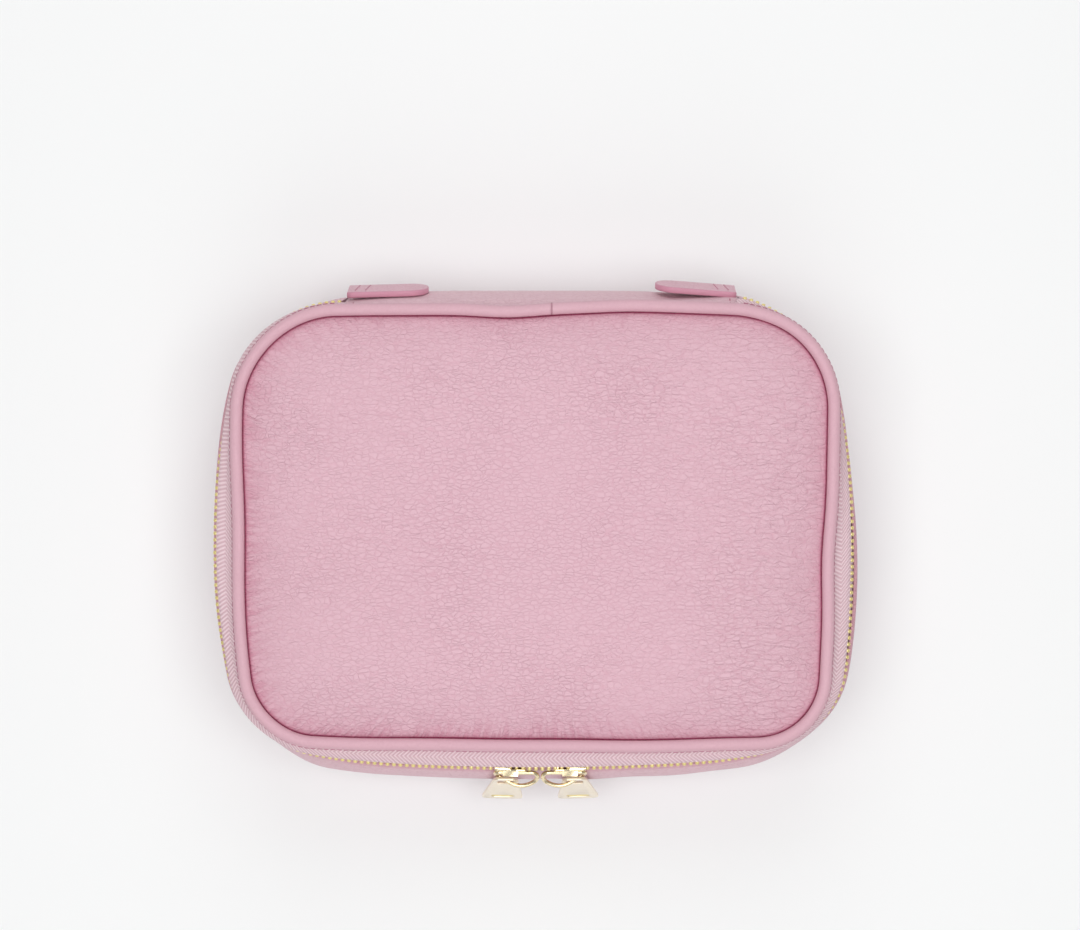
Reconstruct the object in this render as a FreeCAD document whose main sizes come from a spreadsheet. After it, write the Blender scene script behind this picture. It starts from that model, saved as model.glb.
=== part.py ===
import FreeCAD, Part
import Sketcher
import math
import os

# Makeup train case: a flat zip-around case in pebbled leather, in millimetres.
# +X is the case's right, -Y its front with the zip pulls, +Y the hinged back, +Z up.
# The origin is the middle of the flat underside.

Vec = FreeCAD.Vector
X_AXIS = Vec(1, 0, 0)
Z_AXIS = Vec(0, 0, 1)

SIZES = [
    # Plan of the lid, along the seam between its panel and its piping
    ("lid_width", 222.0),
    ("lid_depth", 162.0),
    ("lid_widest_y", 36.0),
    ("lid_side_bow", 1560.0),
    ("lid_front_bow", 3240.0),
    ("lid_front_corner", 25.0),
    ("lid_rear_corner", 36.0),
    # Plan of the zip, which stands further out than the lid
    ("zip_flare_side", 11.1),
    ("zip_flare_front", 9.8),
    ("zip_flare_rear", 6.2),
    ("zip_widest_y", -6.0),
    ("zip_side_bow", 305.0),
    ("zip_front_bow", 960.0),
    ("zip_front_corner", 37.5),
    ("zip_rear_corner", 38.8),
    # Belly of the wall beyond the zip, and the foot beyond the lid's plan
    ("belly_side", 3.0),
    ("belly_front", 7.2),
    ("belly_rear", 4.5),
    ("belly_corner", 7.0),
    ("foot_growth", 2.0),
    # Heights above the table
    ("belly_height", 34.0),
    ("zip_height", 53.0),
    ("lid_seam_rise", 9.2),
    ("lid_crown", 8.3),
    # Leather, boards, foam and lining
    ("leather", 1.5),
    ("board", 1.6),
    ("wall_board", 1.2),
    ("lining", 0.6),
    ("layer_gap", 0.15),
    ("piping_radius", 2.3),
    ("cord_radius", 1.4),
    ("edge_clearance", 0.3),
    # Zip chain
    ("tape", 0.7),
    ("tape_reach", 7.4),
    ("tooth_pitch", 2.46),
    ("tooth_width", 0.95),
    ("tooth_thickness", 1.8),
    ("tooth_length", 3.2),
    ("tooth_mesh", 1.6),
    ("zip_end_inset", 0.5),
    ("zip_end_shift", 2.6),
    ("lid_tape_inset", 1.0),
    # Hinge strip at the back
    ("hinge_end_inset", 0.5),
    ("hinge_bead", 0.7),
    # Pull tabs at the zip ends
    ("tab_length", 31.0),
    ("tab_width", 16.5),
    ("tab_thickness", 2.4),
    ("tab_lean_angle", 15.0),
    ("tab_lift_angle", 5.0),
    ("tab_round", 7.5),
    # Sliders
    ("meet_offset", 2.05),
    ("slider_seat", 11.3),
    ("slider_length", 12.0),
    ("slider_tail", 7.0),
    ("slider_nose", 8.8),
    ("slider_plate", 0.7),
    ("slider_play", 0.2),
    ("slider_flange", 0.7),
    ("slider_round", 0.9),
    ("neck_length", 3.0),
    ("neck_width", 1.6),
    ("lug_length", 5.8),
    ("lug_width", 3.4),
    ("lug_wall", 0.6),
    # Links and tags
    ("wire_radius", 0.7),
    ("bore_play", 0.1),
    ("link_out", 5.8),
    ("link_in", 10.3),
    ("link_drop", 6.3),
    ("link_near", 1.3),
    ("link_far", 6.9),
    ("link_toe", 3.6),
    ("link_bow", 3.4),
    ("link_bow_drop", 4.2),
    ("link_corner", 1.8),
    ("link_toe_corner", 3.2),
    ("tag_seat", 4.6),
    ("tag_length", 28.0),
    ("tag_top_width", 9.0),
    ("tag_low_width", 16.5),
    ("tag_thickness", 1.2),
    ("tag_bar", 1.7),
    ("slot_width", 6.2),
    ("slot_length", 5.0),
    ("tag_tilt_angle", 20.0),
    ("tag_lean_angle", 3.5),
    ("tag_round", 2.6),
    ("window_width", 9.0),
    ("window_depth", 3.4),
    ("window_rise", 4.2),
]

doc = FreeCAD.newDocument("MakeupTrainCase")
sheet = doc.addObject("Spreadsheet::Sheet", "Sizes")
for row, (alias, value) in enumerate(SIZES, start=1):
    sheet.set(f"A{row}", alias.replace("_", " "))
    sheet.set(f"B{row}", str(value))
    sheet.setAlias(f"B{row}", alias)
doc.recompute()


def size(alias):
    """The value of one cell of the sheet."""
    return float(sheet.get(alias))


def on_circle(centre, radius, angle):
    """The point of a circle at an angle from +X."""
    return Vec(centre.x + radius * math.cos(angle), centre.y + radius * math.sin(angle), 0)


def heading(centre, target):
    """The angle of the direction from one point to another."""
    return math.atan2(target.y - centre.y, target.x - centre.x)


class Plan:
    """A case outline: straight back, bowed sides and front, round corners, all tangent.

    Bows are held as curvatures, so that plans at several heights can be mixed.
    """

    FIELDS = ("half_width", "widest_y", "side_curve", "front", "front_curve",
              "front_corner", "rear", "rear_corner")

    def __init__(self, *values):
        for field, value in zip(self.FIELDS, values):
            setattr(self, field, value)

    def values(self):
        return [getattr(self, field) for field in self.FIELDS]

    def grown(self, by):
        """The parallel outline that lies further out by a distance."""
        return Plan(self.half_width + by, self.widest_y, 1 / (1 / self.side_curve + by),
                    self.front + by, 1 / (1 / self.front_curve + by),
                    self.front_corner + by, self.rear + by, self.rear_corner + by)

    def scaled(self, factor):
        """The same outline drawn smaller about the origin."""
        return Plan(self.half_width * factor, self.widest_y * factor,
                    self.side_curve / factor, self.front * factor, self.front_curve / factor,
                    self.front_corner * factor, self.rear * factor, self.rear_corner * factor)

    def centres(self):
        """Centres of the side bow, front bow, front corner and rear corner on the right."""
        side_radius = 1 / self.side_curve
        front_radius = 1 / self.front_curve
        side = Vec(self.half_width - side_radius, self.widest_y, 0)
        front = Vec(0, front_radius - self.front, 0)
        to_side = side_radius - self.front_corner
        to_front = front_radius - self.front_corner
        between = front - side
        span = between.Length
        along = (to_side ** 2 - to_front ** 2 + span ** 2) / (2 * span)
        aside = math.sqrt(to_side ** 2 - along ** 2)
        unit = between / span
        low = side + unit * along + Vec(unit.y, -unit.x, 0) * aside
        rear_y = self.rear - self.rear_corner
        reach = math.sqrt((side_radius - self.rear_corner) ** 2 - (rear_y - self.widest_y) ** 2)
        return side, front, low, Vec(side.x + reach, rear_y, 0)

    def stations(self):
        """Ends and mid-points of the right half, from the back to the front."""
        side, front, low, high = self.centres()
        side_radius = 1 / self.side_curve
        front_radius = 1 / self.front_curve
        turn_high = heading(side, high)
        turn_low = heading(side, low)
        turn_front = heading(front, low)
        return [
            Vec(high.x, self.rear, 0),
            on_circle(high, self.rear_corner, (math.pi / 2 + turn_high) / 2),
            on_circle(side, side_radius, turn_high),
            on_circle(side, side_radius, (turn_high + turn_low) / 2),
            on_circle(side, side_radius, turn_low),
            on_circle(low, self.front_corner, (turn_low + turn_front) / 2),
            on_circle(front, front_radius, turn_front),
        ]

    def edges(self, z):
        """The back line and the seven arcs, clockwise from the back's left end."""
        right = [point + Vec(0, 0, z) for point in self.stations()]
        left = [Vec(-point.x, point.y, z) for point in right]
        front_middle = Vec(0, -self.front, z)
        arcs = [(right[0], right[1], right[2]), (right[2], right[3], right[4]),
                (right[4], right[5], right[6]), (right[6], front_middle, left[6]),
                (left[6], left[5], left[4]), (left[4], left[3], left[2]),
                (left[2], left[1], left[0])]
        back = Part.LineSegment(left[0], right[0]).toShape()
        return [back] + [Part.Arc(*arc).toShape() for arc in arcs]

    def wire(self, z):
        return Part.Wire(self.edges(z))

    def plate(self, z, thickness):
        """A flat plate of this outline, from z upwards."""
        return Part.Face(self.wire(z)).extrude(Z_AXIS * thickness)

    def open_path(self, z, left_x, right_x):
        """The outline without the stretch of the back between two places."""
        edges = self.edges(z)
        back, rounds = edges[0], edges[1:]
        left_end, right_end = back.Vertexes[0].Point, back.Vertexes[1].Point
        first = Part.LineSegment(Vec(right_x, self.rear, z), right_end).toShape()
        last = Part.LineSegment(left_end, Vec(left_x, self.rear, z)).toShape()
        return [first] + rounds + [last]


# Plans of the lid seam, the zip and the foot

lid = Plan(size("lid_width") / 2, size("lid_widest_y"), 1 / size("lid_side_bow"),
           size("lid_depth") / 2, 1 / size("lid_front_bow"), size("lid_front_corner"),
           size("lid_depth") / 2, size("lid_rear_corner"))
zip_line = Plan(lid.half_width + size("zip_flare_side"), size("zip_widest_y"),
                1 / size("zip_side_bow"), lid.front + size("zip_flare_front"),
                1 / size("zip_front_bow"), size("zip_front_corner"),
                lid.rear + size("zip_flare_rear"), size("zip_rear_corner"))
belly = Plan(zip_line.half_width + size("belly_side"), zip_line.widest_y, zip_line.side_curve,
             zip_line.front + size("belly_front"), zip_line.front_curve,
             zip_line.front_corner + size("belly_corner"), zip_line.rear + size("belly_rear"),
             zip_line.rear_corner + size("belly_corner"))
foot = lid.grown(size("foot_growth"))

leather = size("leather")
gap = size("layer_gap")
clear = size("edge_clearance")
half_tape = size("tape") / 2
piping_radius = size("piping_radius")
zip_height = size("zip_height")

# Heights that follow from the pieces that meet there

seam_height = zip_height + size("lid_seam_rise")
lid_piping_height = seam_height + piping_radius - leather / 2
foot_piping_height = piping_radius + clear
wall_foot = foot_piping_height + piping_radius + gap
chain_half = size("tooth_length") - size("tooth_mesh") / 2
wall_top = zip_height - size("slider_nose") / 2 - clear
floor_top = leather + size("board") + size("lining") + 2 * gap
tape_low = wall_top - size("tape_reach") / 2
lid_tape_high = lid_piping_height - piping_radius - gap

zip_end_x = lid.half_width - lid.rear_corner - size("zip_end_inset")
zip_shift = size("zip_end_shift")
wall_rim = zip_line.grown(half_tape + clear + leather)
wall_base = foot.grown(piping_radius + leather / 2)


def wall_plan(z, inset):
    """The wall's outer plan at a height, through foot, belly and rim, set in by a distance."""
    low, middle, high = wall_foot, size("belly_height"), wall_top
    shares = ((z - middle) * (z - high) / ((low - middle) * (low - high)),
              (z - low) * (z - high) / ((middle - low) * (middle - high)),
              (z - low) * (z - middle) / ((high - low) * (high - middle)))
    fields = zip(wall_base.values(), belly.values(), wall_rim.values())
    mixed = [sum(share * value for share, value in zip(shares, row)) for row in fields]
    return Plan(*mixed).grown(-inset)


def loft(sections, ruled=False):
    """A solid through (plan, height) sections."""
    return Part.makeLoft([plan.wire(z) for plan, z in sections], True, ruled)


def wall_ring(outer_inset, thickness, low, high, steps=4):
    """A closed wall layer that follows the belly, between two heights."""
    heights = [low + (high - low) * step / steps for step in range(steps + 1)]
    outside = loft([(wall_plan(z, outer_inset), z) for z in heights])
    inside = loft([(wall_plan(z, outer_inset + thickness), z) for z in heights])
    return outside.cut(inside)


def back_block(half_length, low, high):
    """A block that takes in the back of the case between the zip's ends and two heights."""
    corner = Vec(zip_shift - half_length, lid.rear / 2, low)
    return Part.makeBox(2 * half_length, lid.rear, high - low, corner)


def piping(plan, z, radius):
    """A round bead swept along a plan's outline."""
    path = plan.wire(z)
    start = path.Edges[0].Vertexes[0].Point
    circle = Part.Wire([Part.makeCircle(radius, start, X_AXIS)])
    return path.makePipeShell([circle], True, True)


def piece(label, shape):
    """A sub-part whose shape is worked out here from the sheet's sizes."""
    feature = doc.addObject("Part::Feature", label)
    feature.Label = label
    feature.Shape = shape
    return feature


# Lid: crowned leather panel, foam, board and lining

CROWN_INSETS = (0.0, 0.03, 0.09, 0.20, 0.42, 0.75)
CROWN_POWER = 6


def crown(inset):
    """The domed solid under the lid panel's outer face, set in by a distance all over."""
    shrink = 1 - inset / lid.half_width
    sections = []
    for share in CROWN_INSETS:
        rise = size("lid_crown") * (1 - (1 - share) ** CROWN_POWER)
        sections.append((lid.scaled((1 - share) * shrink), seam_height + rise - inset))
    return loft(sections)


above_seam = lid.grown(piping_radius).plate(seam_height, 2 * size("lid_crown"))
piece("lid_panel", crown(0).cut(crown(leather)))
piece("lid_foam", crown(leather + gap).common(above_seam))
piece("lid_board", lid.grown(-leather / 2).plate(seam_height - size("board"), size("board")))
lid_lining_height = seam_height - size("board") - gap - size("lining")
piece("lid_lining", lid.grown(-leather / 2).plate(lid_lining_height, size("lining")))

lid_piping_line = lid.grown(piping_radius + gap)
lid_cord = piping(lid_piping_line, lid_piping_height, size("cord_radius"))
lid_bead = piping(lid_piping_line, lid_piping_height, piping_radius)
lid_bore = piping(lid_piping_line, lid_piping_height, size("cord_radius") + gap)
piece("lid_piping", lid_bead.cut(lid_bore))
piece("lid_piping_cord", lid_cord)

# Lid side of the zip: tape that drops from the piping to the teeth

lid_tape_low = zip_height + chain_half - size("tooth_length") / 2
lid_tape_bend = zip_height + size("slider_nose") / 2 + clear
tape_slant = 2 * size("tape")
lid_tape = loft([(zip_line.grown(half_tape), lid_tape_low),
                 (zip_line.grown(half_tape), lid_tape_bend),
                 (lid.grown(clear + tape_slant), lid_tape_high)], True)
lid_tape_bore = loft([(zip_line.grown(-half_tape), lid_tape_low),
                      (zip_line.grown(-half_tape), lid_tape_bend),
                      (lid.grown(clear), lid_tape_high)], True)
lid_tape = lid_tape.cut(lid_tape_bore)
lid_tape_end = zip_end_x + size("lid_tape_inset")
piece("lid_zip_tape", lid_tape.cut(back_block(lid_tape_end, 0, seam_height)))

# Hinge strip: the upper part of the spine leather, which turns with the lid

axis_y = zip_line.rear
bead = size("hinge_bead")
strip_section = [(axis_y + bead, zip_height), (lid.rear + clear + tape_slant, lid_tape_high),
                 (lid.rear + clear, lid_tape_high), (axis_y - bead, zip_height)]
strip_length = 2 * (zip_end_x - size("hinge_end_inset"))
strip_start = zip_shift - strip_length / 2
strip_points = [Vec(strip_start, y, z) for y, z in strip_section]
strip_face = Part.Face(Part.makePolygon(strip_points + strip_points[:1]))
strip_roll = Part.makeCylinder(bead, strip_length, Vec(strip_start, axis_y, zip_height), X_AXIS)
strip = strip_face.extrude(X_AXIS * strip_length).fuse(strip_roll).removeSplitter()
piece("hinge_strip", strip)

# Base: bottom panel, board, floor lining and piping

piece("base_panel", foot.grown(-gap).plate(0, leather))
piece("base_board", foot.grown(-gap).plate(leather + gap, size("board")))
piece("floor_lining", foot.grown(-gap).plate(floor_top - size("lining"), size("lining")))
foot_piping_line = foot.grown(piping_radius + gap)
foot_bead = piping(foot_piping_line, foot_piping_height, piping_radius)
foot_bore = piping(foot_piping_line, foot_piping_height, size("cord_radius") + gap)
piece("base_piping", foot_bead.cut(foot_bore))
piece("base_piping_cord", piping(foot_piping_line, foot_piping_height, size("cord_radius")))

# Base wall: leather gusset, spine, stiffener and lining

leather_ring = wall_ring(0, leather, wall_foot, wall_top)
piece("side_gusset", leather_ring.cut(back_block(zip_end_x + gap, 0, seam_height)))

spine_top = zip_height - bead - clear
rim_y = wall_rim.rear
spine_section = [(rim_y, wall_top), (axis_y + bead, spine_top), (axis_y - bead, spine_top),
                 (rim_y - leather, wall_top)]
spine_points = [Vec(zip_shift - zip_end_x, y, z) for y, z in spine_section]
spine_face = Part.Face(Part.makePolygon(spine_points + spine_points[:1]))
spine_lip = spine_face.extrude(X_AXIS * 2 * zip_end_x)
spine_wall = leather_ring.common(back_block(zip_end_x, 0, seam_height))
spine = piece("spine_panel", spine_wall.fuse(spine_lip).removeSplitter())

board_inset = leather + gap
lining_inset = board_inset + size("wall_board") + gap
piece("wall_board", wall_ring(board_inset, size("wall_board"), wall_foot + gap, tape_low - clear))
piece("wall_lining", wall_ring(lining_inset, size("lining"), floor_top + gap, wall_top - clear))

# Base side of the zip

base_tape_high = zip_height - chain_half + size("tooth_length") / 2
tape_inset = leather + clear
base_tape = loft([(wall_plan(tape_low, tape_inset), tape_low), (wall_plan(wall_top, tape_inset), wall_top),
                  (zip_line.grown(half_tape), base_tape_high)], True)
tape_inset += size("tape")
base_bore = loft([(wall_plan(tape_low, tape_inset), tape_low), (wall_plan(wall_top, tape_inset), wall_top),
                  (zip_line.grown(-half_tape), base_tape_high)], True)
base_tape = base_tape.cut(base_bore)
piece("base_zip_tape", base_tape.cut(back_block(zip_end_x, 0, seam_height)))


def smooth_step(value):
    """0 below 0, 1 above 1, with an even turn between."""
    value = min(max(value, 0.0), 1.0)
    return value * value * (3 - 2 * value)


def parting(x, y):
    """How far each row of teeth is spread at a point, by the two sliders' necks."""
    if y > 0:
        return 0.0
    inner = size("slider_seat") + size("slider_length") / 2 - size("neck_length")
    outer = size("slider_seat") - size("slider_length") / 2
    spread = size("neck_width") / 2 + size("tooth_mesh") / 2 + size("slider_play")
    return spread * smooth_step((inner - abs(x - size("meet_offset"))) / (inner - outer))


def teeth(direction, phase):
    """One row of crimped teeth: direction 1 hangs from the lid, -1 stands on the base."""
    edges = zip_line.open_path(0, zip_shift - zip_end_x, zip_shift + zip_end_x)
    total = sum(edge.Length for edge in edges)
    pitch = size("tooth_pitch")
    half_width = size("tooth_width") / 2
    half_thickness = size("tooth_thickness") / 2
    root = chain_half
    tip = chain_half - size("tooth_length")
    row = []
    for count in range(int(total / pitch) - 1):
        along = (count + 1 + phase) * pitch
        for edge in edges:
            if along <= edge.Length:
                break
            along -= edge.Length
        place = edge.getParameterByLength(along)
        point, tangent = edge.valueAt(place), edge.tangentAt(place)
        normal = Vec(-tangent.y, tangent.x, 0)
        rise = zip_height + direction * parting(point.x, point.y)
        corner = (point - tangent * half_width - normal * half_thickness
                  + Z_AXIS * (rise + min(direction * root, direction * tip)))
        sides = [corner, corner + normal * 2 * half_thickness]
        sides += [sides[1] + tangent * 2 * half_width, corner + tangent * 2 * half_width]
        base = Part.Face(Part.makePolygon(sides + sides[:1]))
        row.append(base.extrude(Z_AXIS * size("tooth_length")))
    return Part.makeCompound(row)


piece("lid_zip_teeth", teeth(1, 0.0))
piece("base_zip_teeth", teeth(-1, 0.5))


# Sketch helpers: every coordinate is a sum of shares of the sheet's cells

def amount(terms):
    return sum(share * size(alias) for share, alias in terms)


def formula(terms):
    return " + ".join(f"({share}) * Sizes.{alias}" for share, alias in terms)


def new_sketch(body, name, role, offset_terms=()):
    """A sketch on one of the body's own planes, moved along the plane's normal."""
    sketch = body.newObject("Sketcher::SketchObject", name)
    plane = [feature for feature in body.Origin.OriginFeatures if feature.Role == role][0]
    sketch.AttachmentSupport = [(plane, "")]
    sketch.MapMode = "FlatFace"
    if offset_terms:
        sketch.AttachmentOffset = FreeCAD.Placement(Vec(0, 0, amount(offset_terms)), FreeCAD.Rotation())
        sketch.setExpression("AttachmentOffset.Base.z", formula(offset_terms))
    return sketch


def draw_polygon(sketch, corners):
    """A closed polygon with every corner bound to the sheet."""
    points = [Vec(amount(across), amount(up), 0) for across, up in corners]
    first = len(sketch.Geometry)
    for start, end in zip(points, points[1:] + points[:1]):
        sketch.addGeometry(Part.LineSegment(start, end), False)
    for index, (across, up) in enumerate(corners):
        line = first + index
        following = first + (index + 1) % len(corners)
        sketch.addConstraint(Sketcher.Constraint("Coincident", line, 2, following, 1))
        for kind, terms in (("DistanceX", across), ("DistanceY", up)):
            number = sketch.addConstraint(Sketcher.Constraint(kind, line, 1, amount(terms)))
            sketch.setExpression(f"Constraints[{number}]", formula(terms))


def draw_circle(sketch, centre, radius_terms):
    """A circle with its centre and radius bound to the sheet."""
    across, up = centre
    middle = Vec(amount(across), amount(up), 0)
    circle = sketch.addGeometry(Part.Circle(middle, Z_AXIS, amount(radius_terms)), False)
    for kind, terms in (("DistanceX", across), ("DistanceY", up)):
        number = sketch.addConstraint(Sketcher.Constraint(kind, circle, 3, amount(terms)))
        sketch.setExpression(f"Constraints[{number}]", formula(terms))
    number = sketch.addConstraint(Sketcher.Constraint("Radius", circle, amount(radius_terms)))
    sketch.setExpression(f"Constraints[{number}]", formula(radius_terms))


def add_pad(body, name, sketch, length_terms):
    pad = body.newObject("PartDesign::Pad", name)
    pad.Profile = sketch
    pad.Length = amount(length_terms)
    pad.setExpression("Length", formula(length_terms))
    doc.recompute()
    return pad


def add_through_cut(body, name, sketch):
    """A pocket through the whole body, both ways from its sketch."""
    before = body.Shape.Volume
    pocket = body.newObject("PartDesign::Pocket", name)
    pocket.Profile = sketch
    pocket.Type = "ThroughAll"
    pocket.Midplane = True
    doc.recompute()
    if body.Shape.Volume >= before:
        raise RuntimeError(f"{name} cuts nothing")
    return pocket


def add_fillet(body, name, base, alias, chosen):
    """Round the edges of a feature that a test picks."""
    names = [f"Edge{number}" for number, edge in enumerate(base.Shape.Edges, start=1) if chosen(edge)]
    fillet = body.newObject("PartDesign::Fillet", name)
    fillet.Base = (base, names)
    fillet.Radius = size(alias)
    fillet.setExpression("Radius", f"Sizes.{alias}")
    doc.recompute()
    return fillet


def runs_along(axis):
    """A test for straight edges parallel to an axis."""
    def test(edge):
        if edge.Curve.TypeId != "Part::GeomLine":
            return False
        return abs(abs(edge.tangentAt(edge.FirstParameter).dot(axis)) - 1) < 1e-6
    return test


def new_body(label):
    body = doc.addObject("PartDesign::Body", label)
    body.Label = label
    return body


def mirrored(terms, side):
    """The same amount on the side of the case that is named by 1 or -1."""
    return [(share * side, alias) for share, alias in terms]


# Places along the front run of the zip

run_centre = Vec(0, 1 / zip_line.front_curve - zip_line.front, 0)


def on_run(distance):
    """The frame of the chain at a distance to the right of the front's middle."""
    turn = FreeCAD.Rotation(Z_AXIS, math.degrees(distance * zip_line.front_curve))
    apex = FreeCAD.Placement(Vec(0, -zip_line.front, zip_height), FreeCAD.Rotation())
    return FreeCAD.Placement(Vec(), turn, run_centre).multiply(apex)


NOTHING = [(0.0, "tape")]
CHANNEL = [(0.5, "tooth_thickness"), (1, "slider_play")]
FACE = CHANNEL + [(1, "slider_plate")]
BAR = FACE + [(1, "wire_radius"), (1, "bore_play")]
LUG = BAR + [(1, "wire_radius"), (1, "bore_play"), (1, "lug_wall")]


def negated(terms):
    return [(-share, alias) for share, alias in terms]


def build_slider(label, side):
    """Two shaped plates joined by a neck at the nose, with turned flanges and a lug.

    The nose points to the middle of the case; the lug carries the link's bar.
    """
    body = new_body(label)
    tail_x = mirrored([(0.5, "slider_length")], side)
    nose_x = mirrored([(-0.5, "slider_length")], side)
    waist_x = mirrored([(-0.2, "slider_length")], side)
    tail, nose = [(0.5, "slider_tail")], [(0.5, "slider_nose")]
    plate = [(tail_x, negated(tail)), (NOTHING, negated(tail)), (waist_x, negated(nose)),
             (nose_x, negated(nose)), (nose_x, nose), (waist_x, nose), (NOTHING, tail), (tail_x, tail)]

    sketch = new_sketch(body, label + "_outer", "XZ_Plane", CHANNEL)
    draw_polygon(sketch, plate)
    outer = add_pad(body, label + "_outer_plate", sketch, [(1, "slider_plate")])
    add_fillet(body, label + "_outer_round", outer, "slider_round", runs_along(Vec(0, 1, 0)))

    neck_inner = mirrored([(-0.5, "slider_length"), (1, "neck_length")], side)
    neck_middle = mirrored([(-0.5, "slider_length"), (0.5, "neck_length")], side)
    half_neck = [(0.5, "neck_width")]
    sketch = new_sketch(body, label + "_neck_sketch", "XZ_Plane", negated(FACE))
    draw_polygon(sketch, [(neck_inner, NOTHING), (neck_middle, half_neck), (nose_x, half_neck),
                          (nose_x, negated(half_neck)), (neck_middle, negated(half_neck))])
    add_pad(body, label + "_neck", sketch, [(2 * share, alias) for share, alias in FACE])

    sketch = new_sketch(body, label + "_inner", "XZ_Plane", negated(FACE))
    draw_polygon(sketch, plate)
    add_pad(body, label + "_inner_plate", sketch, [(1, "slider_plate")])

    lip = [(0.5, "slider_tail"), (-1, "slider_flange")]
    slot = [(0.5, "tape"), (1, "slider_play")]
    for name, start in (("_outer_flange", slot), ("_inner_flange", negated(CHANNEL))):
        sketch = new_sketch(body, label + name + "_sketch", "XZ_Plane", start)
        draw_polygon(sketch, [(tail_x, lip), (NOTHING, lip), (NOTHING, tail), (tail_x, tail)])
        draw_polygon(sketch, [(tail_x, negated(tail)), (NOTHING, negated(tail)), (NOTHING, negated(lip)),
                              (tail_x, negated(lip))])
        add_pad(body, label + name, sketch, CHANNEL + negated(slot))

    lug_end = [(0.5, "lug_length")]
    lug_side = [(0.5, "lug_width")]
    sketch = new_sketch(body, label + "_lug_sketch", "XZ_Plane", FACE)
    draw_polygon(sketch, [(negated(lug_end), negated(lug_side)), (lug_end, negated(lug_side)),
                          (lug_end, lug_side), (negated(lug_end), lug_side)])
    add_pad(body, label + "_lug", sketch, LUG + negated(FACE))

    sketch = new_sketch(body, label + "_bore_sketch", "YZ_Plane")
    draw_circle(sketch, (negated(BAR), NOTHING), [(1, "wire_radius"), (1, "bore_play")])
    add_through_cut(body, label + "_bore", sketch)
    body.Placement = on_run(size("meet_offset") + side * size("slider_seat"))
    return body


def link_corners(side):
    """Corners of the link's path from the middle of its bar; the second and third hold the foot."""
    drop = -size("link_drop")
    return [
        Vec(side * size("link_out"), 0, 0),
        Vec(side * size("link_out"), -size("link_near"), drop),
        Vec(-side * size("link_toe"), -size("link_far"), drop),
        Vec(-side * size("link_in"), -size("link_bow"), -size("link_bow_drop")),
        Vec(-side * size("link_in"), 0, 0),
    ]


def foot_way(side):
    """The direction of the link's straight foot, from its outer to its inner end."""
    corners = link_corners(side)
    return (corners[2] - corners[1]).normalize()


def tag_pivot(side):
    """Where the tag hangs on the link, from the middle of its bar."""
    return link_corners(side)[1] + foot_way(side) * size("tag_seat")


def bar_place(side):
    """The frame at the middle of a slider's bore."""
    bar = FreeCAD.Placement(Vec(0, -amount(BAR), 0), FreeCAD.Rotation())
    return on_run(size("meet_offset") + side * size("slider_seat")).multiply(bar)


def round_wire(corners, radii, wire):
    """A closed loop of round wire along a polygon in space, each corner turned on its own radius."""
    count = len(corners)
    turns = []
    for index, (at, radius) in enumerate(zip(corners, radii)):
        to_last = (corners[index - 1] - at).normalize()
        to_next = (corners[(index + 1) % count] - at).normalize()
        half = to_last.getAngle(to_next) / 2
        reach = radius / math.tan(half)
        centre = at + (to_last + to_next).normalize() * (radius / math.sin(half))
        turns.append((at + to_last * reach, at + to_next * reach, centre, 180 - math.degrees(2 * half)))
    lengths = []
    for index, (start, end, centre, angle) in enumerate(turns):
        following = turns[(index + 1) % count][0]
        section = Part.Face(Part.Wire([Part.makeCircle(wire, start, corners[index] - start)]))
        axis = (start - centre).cross(end - centre)
        lengths.append(section.revolve(centre, axis, angle))
        section = Part.Face(Part.Wire([Part.makeCircle(wire, end, following - end)]))
        lengths.append(section.extrude(following - end))
    return lengths[0].multiFuse(lengths[1:]).removeSplitter()


def build_link(label, side):
    """A closed wire loop: straight bar in the slider's lug, straight slanted foot for the tag."""
    corner, toe = size("link_corner"), size("link_toe_corner")
    loop = round_wire(link_corners(side), [corner, corner, toe, corner, corner], size("wire_radius"))
    feature = piece(label, loop)
    feature.Placement = bar_place(side)
    return feature


def draw_stadium(sketch, reach, height, radius):
    """A level slot with round ends, its centres and radius bound to the sheet."""
    half, level, round_end = amount(reach), amount(height), amount(radius)
    ceiling, sill = level + round_end, level - round_end
    top = sketch.addGeometry(Part.LineSegment(Vec(-half, ceiling, 0), Vec(half, ceiling, 0)))
    low = sketch.addGeometry(Part.LineSegment(Vec(half, sill, 0), Vec(-half, sill, 0)))
    ends = []
    for centre_x, start in ((half, -math.pi / 2), (-half, math.pi / 2)):
        circle = Part.Circle(Vec(centre_x, level, 0), Z_AXIS, round_end)
        ends.append(sketch.addGeometry(Part.ArcOfCircle(circle, start, start + math.pi)))
    right, left = ends
    meetings = ((top, 2, right, 2), (low, 1, right, 1), (top, 1, left, 1), (low, 2, left, 2))
    for line, point, arc, end in meetings:
        sketch.addConstraint(Sketcher.Constraint("Tangent", line, point, arc, end))
    for arc, terms in ((right, reach), (left, negated(reach))):
        for kind, wanted in (("DistanceX", terms), ("DistanceY", height)):
            number = sketch.addConstraint(Sketcher.Constraint(kind, arc, 3, amount(wanted)))
            sketch.setExpression(f"Constraints[{number}]", formula(wanted))
    number = sketch.addConstraint(Sketcher.Constraint("Radius", right, amount(radius)))
    sketch.setExpression(f"Constraints[{number}]", formula(radius))


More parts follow.
